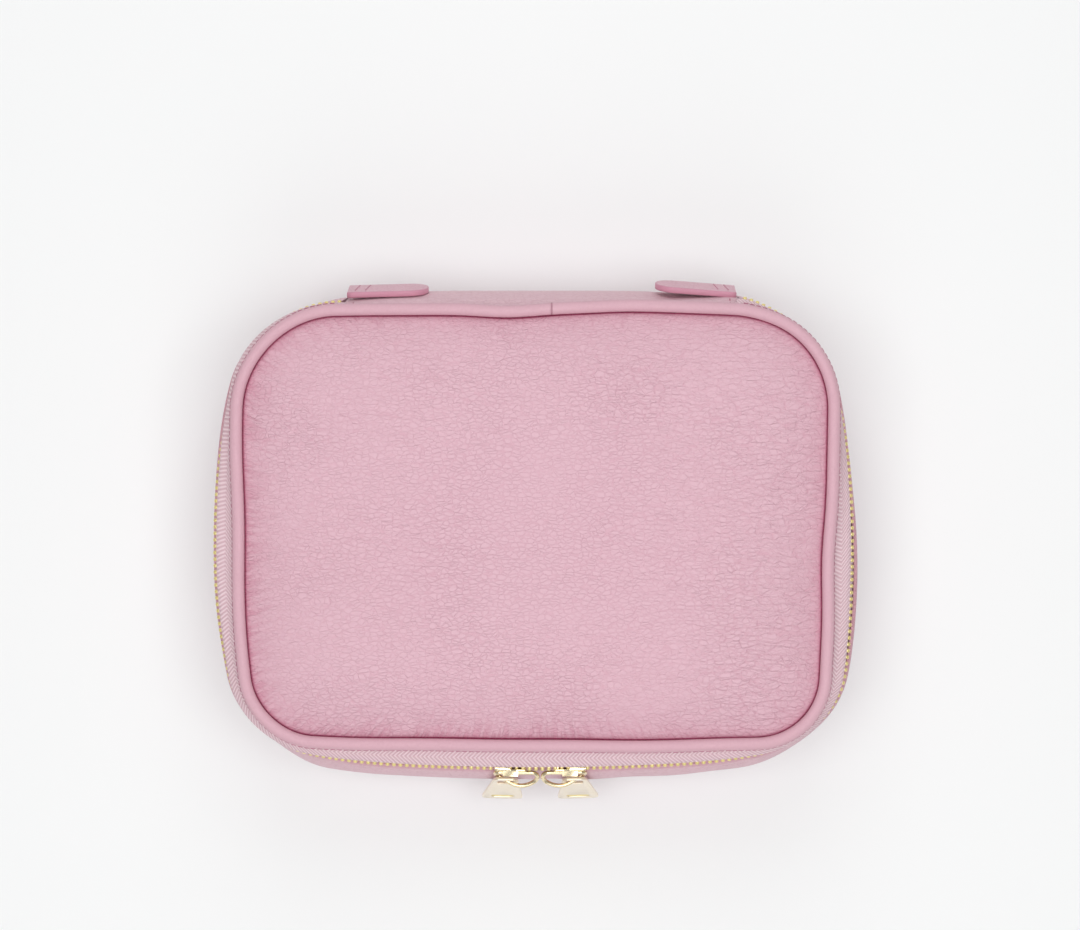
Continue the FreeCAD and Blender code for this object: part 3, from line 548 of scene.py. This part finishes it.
def herringbone(name, light, dark):
    """Twill tape: slanted ribs that change direction every few threads across the tape.

    The map's u runs along the tape and v across it, both in metres.
    """
    finish = Finish(name, {"Sheen Weight": 0.25})
    band, rib_pitch = 3.1 * mm, 1.6 * mm
    along, over, _ = finish.parts(finish.mapped("weave"))
    slant = (over - 1.0 * mm).fold(band)
    rib = ((along + slant) * (2 * np.pi / rib_pitch)).wave()
    turn = (over * (np.pi / band)).wave()
    thread = finish.noise(0.25 * mm, 2.0)
    shade = rib * 0.5 + 0.5
    colour = finish.blend(shade * 0.75 + thread * 0.25, dark, light)
    height = shade + 0.25 * thread + 0.1 * turn
    return finish.paint(colour, 0.74 + 0.12 * thread, height, 0.16 * mm)


tape, zip_half = 0.7 * mm, 74.5 * mm
tape_cloth = herringbone("zip_tape_cloth", srgb(242, 218, 224), srgb(206, 166, 176))
zip_path, zip_way = outline(zip_plan)
zip_path = drawn_in(zip_path, zip_way, TUCK_DENTS)
lower_levels = np.concatenate([np.linspace(44.6, 48.3, 5), np.linspace(49, 52.2, 5)]) * mm
lower_face, lower_back = [], []
for level in lower_levels:
    if level <= wall_high:
        plan, dents = grown(wall_plan(level), -leather - 0.3 * mm), WALL_DENTS
    else:
        plan, dents = grown(zip_plan, tape / 2), TUCK_DENTS
    flat, out = outline(plan)
    flat = drawn_in(flat, out, dents)
    lower_face.append(at_height(flat, level))
    lower_back.append(at_height(flat - out * tape, level))
lower_rows = without_back(np.stack(lower_face + lower_back[::-1]), zip_half)
lower_tape = surface("lower_zip_tape", lower_rows, tape_cloth, round_path=False, uv=woven_map(lower_rows))
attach(lower_tape, "base")
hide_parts("base_zip_tape")


# Zip teeth
# Two rows of gilt brass teeth, crimped on the tapes half a pitch apart so that they mesh.
# The rows stand apart between the two sliders at the front.

def polished(name, light, dark, roughness, metal=1.0, wear=0.05 * mm):
    """Gilt metal: a warm plated face with faint rubbing and tiny dents, as deep as the wear."""
    finish = Finish(name, {"Metallic": metal})
    rub = finish.noise(2.2 * mm, 4.0)
    dents = finish.noise(5 * mm, 2.0)
    colour = finish.blend(rub * 0.8, light, dark)
    return finish.paint(colour, roughness + 0.12 * rub, dents + 0.15 * rub, wear)


def stations(flat, out, pitch, first):
    """Points, tangents and normals at even steps along an open path, interpolated by its length."""
    run = distance_along(flat, False)
    at = np.arange(first, run[-1] - pitch / 2, pitch)
    spot = np.stack([np.interp(at, run, flat[:, axis]) for axis in (0, 1)], 1)
    normal = np.stack([np.interp(at, run, out[:, axis]) for axis in (0, 1)], 1)
    normal /= np.hypot(*normal.T)[:, None]
    return spot, np.stack([normal[:, 1], -normal[:, 0]], 1), normal


def rounded_block(across, deep, tall, corner, columns, rows):
    """A block with soft edges: a sphere's sine and cosine raised to a small power on each axis."""
    turn = np.linspace(-np.pi, np.pi, columns, endpoint=False)[None]
    rise = np.linspace(-np.pi / 2, np.pi / 2, rows)[:, None]

    def bend(wave):
        return np.sign(wave) * np.abs(wave) ** corner

    return np.stack(np.broadcast_arrays(across / 2 * bend(np.cos(rise)) * bend(np.cos(turn)),
                                        deep / 2 * bend(np.cos(rise)) * bend(np.sin(turn)),
                                        tall / 2 * bend(np.sin(rise))), 2)


def many(name, shape, spots, first, second, third, finish):
    """Copies of one gridded shape at spots, turned to three directions, as one mesh."""
    rows, columns = shape.shape[:2]
    x, y, z = (shape[..., axis].reshape(1, -1, 1) for axis in range(3))
    points = spots[:, None] + first[:, None] * x + second[:, None] * y + third[:, None] * z
    row, column = np.meshgrid(np.arange(rows - 1), np.arange(columns), indexing="ij")
    row, column = row.ravel(), column.ravel()
    following = (column + 1) % columns
    quads = np.stack([row * columns + column, row * columns + following,
                      (row + 1) * columns + following, (row + 1) * columns + column], 1)
    faces = (quads[None] + (np.arange(len(spots)) * rows * columns)[:, None, None]).reshape(-1, 4)
    mesh = bpy.data.meshes.new(name)
    mesh.from_pydata(points.reshape(-1, 3).tolist(), [], faces.tolist())
    return closed_piece(name, mesh, finish, merge=True)


gilt = polished("gilt_brass", srgb(252, 238, 172), srgb(236, 212, 128), 0.3, 0.6)
tooth_pitch, tooth_length, chain_half = 2.46 * mm, 3.2 * mm, 2.4 * mm
meeting, tail, nose, parting = 2.05 * mm, 14.3 * mm, 5.3 * mm, 1.8 * mm
mean_deep = 2.1
open_zip = (np.abs(zip_path[:, 0] - zip_shift) >= zip_half) | (zip_path[:, 1] < 0)
chain_path, chain_way = zip_path[open_zip], zip_way[open_zip]
for name, body, node, direction, phase, wide, deep in (
        ("upper_teeth", "lid", "lid_zip_teeth", 1, 1.0, 1.5, 2.5),
        ("lower_teeth", "base", "base_zip_teeth", -1, 1.5, 1.1, 1.7)):
    tooth = rounded_block(wide * mm, deep * mm, tooth_length, corner=0.45, columns=8, rows=6)
    spot, along, out = stations(chain_path, chain_way, tooth_pitch, phase * tooth_pitch)
    parted = smooth_step((tail - np.abs(spot[:, 0] - meeting)) / (tail - nose))
    spread = parting * parted * (spot[:, 1] < 0)
    level = axis_z + direction * (chain_half - tooth_length / 2 + spread)
    spots = np.column_stack([spot + (deep - mean_deep) * mm * out, level])
    flat = np.zeros((len(spot), 1))
    up = np.column_stack([flat, flat, np.full((len(spot), 1), float(direction))])
    row = many(name, tooth, spots, np.hstack([along, flat]), np.hstack([out, flat]), up, gilt)
    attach(row, body)
    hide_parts(node)


# Upper zip tape
# The lid's half of the zip: tape that leaves the seam under the piping and turns down to the teeth.
# From above it shows as a woven band between the piping and the teeth.

upper_levels = np.array([53.8, 55.4, 56.8, 57.7, 58.3, 59.0, 59.7, 60.4, 61.3]) * mm
# At each height the tape lies between the zip's plan, at share 1, and the lid's seam, at share 0.
zip_share = np.interp(upper_levels, np.array([56.2, 57.7, 61.3]) * mm, [1.0, 0.965, 0.0])
low_flat, low_out = outline(grown(zip_plan, tape / 2))
low_flat = drawn_in(low_flat, low_out, ZIP_DENTS)
high_flat, high_out = outline(grown(lid_plan, 1.7 * mm))
high_flat = drawn_in(high_flat, high_out, LID_DENTS)
upper_face, upper_back = [], []
for share, level in zip(zip_share, upper_levels):
    flat = low_flat * share + high_flat * (1 - share)
    out = low_out * share + high_out * (1 - share)
    thick = tape * (1 + 0.9 * (1 - share))
    upper_face.append(at_height(flat, level))
    upper_back.append(at_height(flat - out * thick, level))
upper_rows = without_back(np.stack(upper_face + upper_back[::-1]), zip_half)
upper_tape = surface("upper_zip_tape", upper_rows, tape_cloth, round_path=False, uv=woven_map(upper_rows))
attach(upper_tape, "lid")
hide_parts("lid_zip_tape")


# Lid seam allowance
# A strip of lining cloth between the lid's board and its lining, caught in the piping's seam.
# It closes the narrow slot between the lining and the zip tape when the lid stands open.

allowance_path, allowance_way = outline(lid_plan)
allowance_path = drawn_in(allowance_path, allowance_way, LID_DENTS)
allowance_rows = np.stack([at_height(allowance_path + allowance_way * beyond * mm, level * mm)
                           for beyond, level in ((0.9, 60.49), (0.9, 60.57),
                                                 (-4.0, 60.57), (-4.0, 60.49))])
allowance = surface("lid_seam_allowance", allowance_rows, lining_cloth)
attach(allowance, "lid")


# Lid panel
# Pebbled leather drawn over a sheet of foam on a board, so its top is soft and nearly flat.
# The seam pulls its edge down beside the piping and leaves short puckers across the stitching.

seam_z, crown = 62.2 * mm, 8.3 * mm
rings = np.concatenate([np.linspace(1.0, 0.90, 22), np.linspace(0.895, 0.6, 40),
                        np.linspace(0.58, 0.02, 36)])
edge_path, edge_way = outline(lid_plan, 2)
edge_path = drawn_in(edge_path, edge_way, LID_DENTS)
edge_run = distance_along(edge_path, True)
flat = edge_path[None] * rings[:, None, None]
rise = crown * (1 - rings ** 6)
height = np.broadcast_to(seam_z + rise[:, None], flat.shape[:2]).copy()
from_edge = np.hypot(*(edge_path[None] * (1 - rings[:, None, None])).transpose(2, 0, 1))
# Shallow wandering folds: middle, angle in degrees, length, width and depth in millimetres.
for x, y, angle, long, wide, depth in ((96, 20, 84, 26, 2.6, 0.22), (101, -6, 96, 18, 2.2, 0.18),
                                       (-20, -53, 4, 34, 2.8, 0.2), (32, -58, -6, 26, 2.6, 0.18),
                                       (-70, -50, 24, 22, 3.0, 0.18), (-98, 16, 88, 24, 2.6, 0.16),
                                       (10, 64, 2, 30, 3.2, 0.16), (70, 58, -28, 18, 3.0, 0.16)):
    turn = np.radians(angle)
    east, north = flat[..., 0] - x * mm, flat[..., 1] - y * mm
    along = east * np.cos(turn) + north * np.sin(turn)
    over = north * np.cos(turn) - east * np.sin(turn) + 1.8 * mm * np.sin(along / (9 * mm))
    height -= depth * mm * np.exp(-(along / (long * mm)) ** 2 - (over / (wide * mm)) ** 2)
# The stuffing swells a little, and the leather stands up beside the seam.
swells = np.sin(flat[..., 0] / (31 * mm) + 0.7) * np.sin(flat[..., 1] / (27 * mm) - 0.4)
height += 0.35 * mm * swells * smooth_step((1 - rings[:, None]) / 0.2)
height += 0.55 * mm * np.exp(-from_edge / (3 * mm))
top = np.concatenate([flat, height[..., None]], 2)
lip = np.stack([at_height(edge_path * scale + edge_way * beyond * mm, seam_z + above * mm)
                for scale, beyond, above in ((0.5, 0.0, -0.2), (0.985, 0.0, -0.2), (1.0, 1.0, -0.2),
                                             (1.0, 0.95, 0.5), (1.0, 0.5, 0.55))])
along_edge = np.tile(edge_run, (len(lip) + len(top), 1))
beside = np.concatenate([np.zeros((len(lip), len(edge_run))),
                         np.pad(from_edge, ((0, 0), (0, 1)), "wrap")])
panel = surface("lid_leather", np.concatenate([lip, top]), calf, round_profile=False,
                uv=np.stack([along_edge, beside], 2), uv_name="pucker")
# Painted shade: the lip and the leather beside the seam take the deep seam colour, then pale pink for a few
# millimetres out.
seam_shade = np.concatenate([np.ones(lip.shape[:2]), 0.85 * np.exp(-(from_edge / (0.9 * mm)) ** 2)
                       + 0.3 * np.exp(-from_edge / (3.5 * mm))]).clip(0, 1)
# The puckers are strongest towards the left and the front.
taut = 0.35 + 0.65 * smooth_step((0.05 - edge_path[:, 0] - 0.8 * edge_path[:, 1]) / 0.12)
pulled = np.concatenate([np.zeros(lip.shape[:2]), taut * np.exp(-from_edge / (6 * mm))])
for name, values in (("seam", seam_shade), ("pull", pulled)):
    panel.data.attributes.new(name, "FLOAT", "POINT").data.foreach_set("value", values.ravel())
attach(panel, "lid")
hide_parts("lid_panel", "lid_foam")


# Upper piping
# The same rolled bead as below, caught between the lid panel and the zip tape all the way round.
# Its ends meet in a fine joint near the middle of the back.

upper_bead_z = 63.75 * mm
path, way = outline(grown(lid_plan, piping_radius + bead_gap), 2)
path = drawn_in(path, way, LID_DENTS)
upper_piping = surface("upper_piping", carried(path, way, upper_bead_z, bead), bead_calf)
filler = surface("upper_piping_filler", carried(path, way, upper_bead_z, bead * 0.6), cord_cotton)
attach(filler, "lid")
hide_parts("lid_piping_cord")
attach(upper_piping, "lid")
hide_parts("lid_piping")


# Seam stitches
# Thread along the foot of the upper piping, through tape and leather; each stitch sinks into the cloth.
# The row stops at the tabs, where the spine leather takes over; a short row holds each end of the spine.

def thread(name, light, dark):
    """Bonded thread: fine twist with a soft shine."""
    finish = Finish(name, {"Specular IOR Level": 0.4})
    twist = finish.noise(0.3 * mm, 2.0)
    return finish.paint(finish.blend(twist, light, dark), 0.45 + 0.15 * twist, twist, 0.05 * mm)


rose_thread = thread("rose_thread", srgb(206, 140, 160), srgb(176, 104, 128))
seam_beyond, seam_stop, seam_level = 5.1 * mm, 76 * mm, 60.4 * mm
path, way = outline(grown(lid_plan, seam_beyond), 2)
path = drawn_in(path, way, LID_DENTS)
seen = (np.abs(path[:, 0] - zip_shift) > seam_stop) | (path[:, 1] < 0)
spot, along, out = stations(path[seen], way[seen], pitch=2.5 * mm, first=1.2 * mm)
stitch = rounded_block(1.9 * mm, 0.5 * mm, 0.5 * mm, corner=0.6, columns=10, rows=5)
flat = np.zeros((len(spot), 1))
up = np.column_stack([flat, flat, flat + 1.0])
seam_row = many("seam_stitches", stitch, at_height(spot, seam_level), np.hstack([along, flat]),
                np.hstack([out, flat]), up, rose_thread)
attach(seam_row, "lid")
end_stitch = rounded_block(0.55 * mm, 0.5 * mm, 1.7 * mm, corner=0.6, columns=8, rows=5)
end_rise = np.array([54.6, 56.9, 59.2]) * mm
end_reach = 71.8 * mm
level_way = np.tile([1.0, 0.0, 0.0], (len(end_rise), 1))
for word, place in (("left", zip_shift - end_reach), ("right", zip_shift + end_reach)):
    face = spine_points[:len(spine_outer), np.argmin(np.abs(across - place))]
    deep = np.interp(end_rise, face[:, 2], face[:, 1])
    up = np.column_stack([np.zeros_like(deep), np.gradient(deep, end_rise), np.ones_like(deep)])
    up /= np.linalg.norm(up, axis=1, keepdims=True)
    spots = np.column_stack([np.full_like(deep, place), deep, end_rise])
    end_row = many(word + "_spine_stitches", end_stitch, spots, level_way, np.cross(up, level_way), up,
                   rose_thread)
    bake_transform(end_row)


# Zip-end tabs
# Two thick leather straps sewn over the ends of the zip, with painted edges and a round free end.
# The free ends stand a little off the spine, towards the middle of the back.

def painted_edge(name, face, edge):
    """Strap leather with sealed edge paint: the attribute rim is 1 on the cut edge."""
    finish = Finish(name, {"Specular IOR Level": 0.35})
    rim = finish.attribute("rim")
    crease = (1 - finish.cells(finish.place, 1.5 * mm).step(0.0, 0.25)) * (1 - rim)
    grain = finish.noise(0.9 * mm, 4.0)
    # Painted shade: the face's creases are darkened towards the edge colour on top of their bump.
    colour = finish.blend(rim, finish.blend(crease * 0.4 + 0.15 * grain, face, edge), edge)
    return finish.paint(colour, 0.5 - 0.12 * rim + 0.1 * grain, 0.3 * grain - crease, 0.12 * mm)


strap_calf = painted_edge("strap_calf", srgb(226, 188, 199), srgb(206, 146, 166))
tab_length, tab_width, tab_thick, tab_round = 31 * mm, 16.5 * mm, 2.4 * mm, 7.5 * mm
tab_lean, tab_reach, tab_back, tab_top = np.radians(13.0), 74.35 * mm, 87.7 * mm, 51.7 * mm
leaned = np.array([[1, 0, 0],
                   [0, np.cos(tab_lean), -np.sin(tab_lean)],
                   [0, np.sin(tab_lean), np.cos(tab_lean)]])
# Layers of a strap from outer to inner face: how far each lies inside the outline and below the face.
edge, mid_edge, rim_width = 0.5 * mm, 0.15 * mm, 0.4 * mm
layers = [(0.97 * tab_width / 2, 0.0), (4 * mm, 0.0), (edge, 0.0), (mid_edge, mid_edge), (0.0, edge),
          (0.0, tab_thick - edge), (mid_edge, tab_thick - mid_edge), (edge, tab_thick),
          (4 * mm, tab_thick), (0.97 * tab_width / 2, tab_thick)]
strap_stitch = rounded_block(0.55 * mm, 0.5 * mm, 1.8 * mm, corner=0.6, columns=8, rows=5)
down = np.arange(-14.0, -1.5, 2.5) * mm
end_turn = np.linspace(0, np.pi / 2, 12)
for side, word, tab_lift in ((-1, "left", np.radians(1.5)), (1, "right", np.radians(4.5))):
    lower = np.stack([-tab_length + tab_round - tab_round * np.sin(end_turn),
                      -tab_width + tab_round - tab_round * np.cos(end_turn)], 1)
    upper = np.stack([lower[::-1, 0], -tab_width - lower[::-1, 1]], 1)
    ring = np.vstack([np.linspace([0, -tab_width], lower[0], 12)[:-1], lower, upper,
                      np.linspace(upper[-1], [0, 0], 12)[1:],
                      np.linspace([0, 0], [0, -tab_width], 8)[1:-1]])
    ring[:, 0] *= side
    middle = np.array([-side * tab_length / 2, -tab_width / 2])
    skin = []
    for inside, below in layers:
        face = middle + (ring - middle) * (1 - inside / np.array([tab_length / 2, tab_width / 2]))
        skin.append(np.column_stack([face[:, 0], np.full(len(ring), tab_thick - below), face[:, 1]]))
    turn = -side * tab_lift
    lifted = np.array([[np.cos(turn), -np.sin(turn), 0],
                       [np.sin(turn), np.cos(turn), 0],
                       [0, 0, 1]])
    stance = (lifted @ leaned).T
    seat = np.array([zip_shift + side * tab_reach, tab_back, tab_top])
    strap = surface(word + "_strap", np.stack(skin) @ stance + seat, strap_calf, round_profile=False)
    rim = strap.data.attributes.new("rim", "FLOAT", "POINT")
    on_rim = [float(inside < rim_width) for inside, _ in layers]
    rim.data.foreach_set("value", np.repeat(on_rim, len(ring)))
    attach(strap, "base")
    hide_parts(word + "_tab")
    rows = np.concatenate([np.column_stack([-side * (start * mm - 0.12 * down),
                                            np.full(len(down), tab_thick), down])
                           for start in (2.6, 6.6)])
    ways = [np.tile(axis @ stance, (len(rows), 1)) for axis in np.eye(3)]
    sewn = many(word + "_strap_stitches", strap_stitch, rows @ stance + seat, *ways, rose_thread)
    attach(sewn, "base")


# Links
# A ring of thick gilt wire through each slider's lug: a straight bar above, and a round bow below.
# Its foot is the bar on which the pull hangs.

def round_corners(corners, cuts, steps=14):
    """A closed path: straight runs, and at each corner the parabola that starts and ends a cut away."""
    path = []
    share = np.linspace(0, 1, steps)[:, None]
    for index, (at, cut) in enumerate(zip(corners, cuts)):
        start, end = (at + (other - at) * cut / np.linalg.norm(other - at)
                      for other in (corners[index - 1], corners[(index + 1) % len(corners)]))
        path.append((1 - share) ** 2 * start + 2 * share * (1 - share) * at + share ** 2 * end)
    return np.vstack(path)


champagne = polished("champagne_gilt", srgb(250, 236, 204), srgb(234, 212, 164), 0.14)
wire_radius = 0.85 * mm
# Middle of each link's bar in millimetres, and the bar's direction in plan on the bowed front.
for word, side, bar, bar_way in (("left", -1, (-9.2749, -93.3553, 53.0), (0.99995, -0.00964)),
                                 ("right", 1, (13.3857, -93.3069, 53.0), (0.9999, 0.01391))):
    corners = np.array([[5.8 * side, 0, 0], [5.8 * side, -1.3, -6.3], [-3.6 * side, -6.9, -6.3],
                        [-10.3 * side, -3.4, -4.2], [-10.3 * side, 0, 0]]) * mm
    turning = np.array([[*bar_way, 0], [-bar_way[1], bar_way[0], 0], [0, 0, 1]])
    bow = round_corners(corners, np.array([2.2, 2.0, 5.0, 2.6, 3.0]) * mm)
    wire = bow @ turning + np.array(bar) * mm
    tangent = np.roll(wire, -1, 0) - np.roll(wire, 1, 0)
    tangent /= np.linalg.norm(tangent, axis=1, keepdims=True)
    flank = np.cross(tangent, wire.mean(0) - wire)
    flank /= np.linalg.norm(flank, axis=1, keepdims=True)
    rise = np.cross(flank, tangent)
    about = np.cos(bead_turn)[:, None, None] * flank + np.sin(bead_turn)[:, None, None] * rise
    link = surface(word + "_wire_link", wire[None] + wire_radius * about, champagne)
    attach(link, word + "_link")
    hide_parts(word + "_link")


# Sliders and pulls
# Cast and plated zip hardware: two sliders, and a flat tapered pull on each link.
# The CAD shapes are right, so each is a merged copy with its sharp edges eased as plating leaves them.

pale_gilt = polished("pale_gilt", srgb(250, 240, 222), srgb(242, 228, 204), 0.24, 0.6, 0.012 * mm)
for word in ("left", "right"):
    for part, finish, ease, slot in (("slider", champagne, 0.16, "gilt_metal"),
                                     ("tag", pale_gilt, 0.3, "tag_metal")):
        name = f"{word}_{part}"
        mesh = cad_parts[name].data.copy()
        shell = bmesh.new()
        shell.from_mesh(mesh)
        bmesh.ops.remove_doubles(shell, verts=shell.verts, dist=1e-6)
        bmesh.ops.dissolve_limit(shell, angle_limit=0.02, verts=shell.verts, edges=shell.edges)
        shell.to_mesh(mesh)
        shell.free()
        mesh.materials.clear()
        mesh.materials.append(finish)
        mesh.polygons.foreach_set("use_smooth", [True] * len(mesh.polygons))
        copy = bpy.data.objects.new(name + "_plated", mesh)
        bpy.context.scene.collection.objects.link(copy)
        bevel = copy.modifiers.new("eased_edges", "BEVEL")
        bevel.width = ease * mm
        bevel.segments = 3
        bevel.limit_method = "ANGLE"
        bevel.angle_limit = 0.6
        bevel.harden_normals = True
        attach(copy, name)
        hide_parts(name)


# Pull inlays
# A plain gilt plate in each pull's oval window, set a little below both faces.
# It is stamped to the window's outline and hangs at the pull's own tilt.

tag_tilt, window_drop = np.radians(20.0), 23.8 * mm
window_half, window_radius = 2.8, 1.75
window_turn = np.linspace(0, 2 * np.pi, 40, endpoint=False)
oval = np.stack([np.sign(np.cos(window_turn)) * window_half + window_radius * np.cos(window_turn),
                 window_radius * np.sin(window_turn)], 1) * mm
tilting = np.array([[1, 0, 0],
                    [0, np.cos(tag_tilt), -np.sin(tag_tilt)],
                    [0, np.sin(tag_tilt), np.cos(tag_tilt)]])
# Middle of each pull's bar in millimetres, and the bar's direction in plan.
for word, side, pivot, bar_way in (("left", -1, (-11.1582, -96.9916, 46.7), (0.99995, -0.00964)),
                                   ("right", 1, (15.2845, -96.9352, 46.7), (0.9999, 0.01391))):
    tag_lean = np.radians(-3.5 * side)
    leaning = np.array([[np.cos(tag_lean), 0, -np.sin(tag_lean)],
                        [0, 1, 0],
                        [np.sin(tag_lean), 0, np.cos(tag_lean)]])
    turning = np.array([[*bar_way, 0], [-bar_way[1], bar_way[0], 0], [0, 0, 1]])
    plate = np.stack([np.column_stack([oval[:, 0] * scale, np.full(len(oval), depth * mm),
                                       oval[:, 1] * scale - window_drop])
                      for scale, depth in ((0.6, -0.3), (1.0, -0.3), (1.0, 0.3), (0.6, 0.3))])
    stance = leaning @ tilting @ turning
    inlay = surface(word + "_pull_inlay", plate @ stance + np.array(pivot) * mm, gilt, round_profile=False)
    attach(inlay, word + "_tag")


# Table, light and camera
# A white table under four softboxes: two overhead at the sides, one behind and one in front.
# The camera looks straight down, as in the photograph.

floor_mesh = bpy.data.meshes.new("floor")
floor_mesh.from_pydata([(-4, -4, 0), (4, -4, 0), (4, 4, 0), (-4, 4, 0)], [], [(0, 1, 2, 3)])
floor = bpy.data.objects.new("floor", floor_mesh)
bpy.context.scene.collection.objects.link(floor)
paper = Finish("white_paper", {"Roughness": 0.9, "Specular IOR Level": 0.0})
fleck = paper.noise(0.4, 2.0)
floor_mesh.materials.append(paper.paint(paper.blend(fleck, srgb(246, 247, 247), srgb(245, 246, 246))))
# Camera and glossy rays see a small share of plain white, so that the table stays pale and keeps the shadow.
plain_share = 0.1
bright = paper.node("ShaderNodeEmission", {}, {"Color": srgb(247, 247, 247), "Strength": 1.0})
rays = paper.node("ShaderNodeLightPath", {}, {}, "Is Camera Ray").socket.node.outputs
plain = Value(paper, rays["Is Camera Ray"]) + Value(paper, rays["Is Glossy Ray"])
shade = Value(paper, paper.shader.outputs["BSDF"])
lit = paper.node("ShaderNodeMixShader", {}, {0: plain * plain_share, 1: shade, 2: bright})
paper.tree.links.new(lit.socket, paper.tree.nodes["Material Output"].inputs["Surface"])

world = bpy.data.worlds.new("studio")
world.use_nodes = True
world.node_tree.nodes["Background"].inputs["Color"].default_value = (1.0, 1.0, 1.0, 1.0)
world.node_tree.nodes["Background"].inputs["Strength"].default_value = 0.385
bpy.context.scene.world = world

for place, size, energy in (((-0.36, -0.08, 1.35), 0.6, 4.25), ((0.36, -0.08, 1.35), 0.6, 4.25),
                            ((0.0, 0.8, 0.75), 0.8, 2.8), ((0.0, -0.8, 0.75), 0.8, 2.4)):
    lamp = bpy.data.lights.new("softbox", "AREA")
    lamp.shape = "SQUARE"
    lamp.size = size
    lamp.energy = energy
    holder = bpy.data.objects.new("softbox", lamp)
    holder.location = place
    holder.rotation_euler = (-holder.location).to_track_quat("-Z", "Y").to_euler()
    bpy.context.scene.collection.objects.link(holder)

focal_pixels, image_width = 2873, 1080
lens = bpy.data.cameras.new("camera")
lens.sensor_fit = "HORIZONTAL"
lens.sensor_width = 36.0
lens.lens = lens.sensor_width * focal_pixels / image_width
lens.clip_end = 20.0
camera = bpy.data.objects.new("camera", lens)
camera.location = (2.0 * mm, 24.0 * mm, 1150 * mm)
bpy.context.scene.collection.objects.link(camera)
bpy.context.scene.camera = camera
bpy.context.scene.view_settings.view_transform = "Standard"
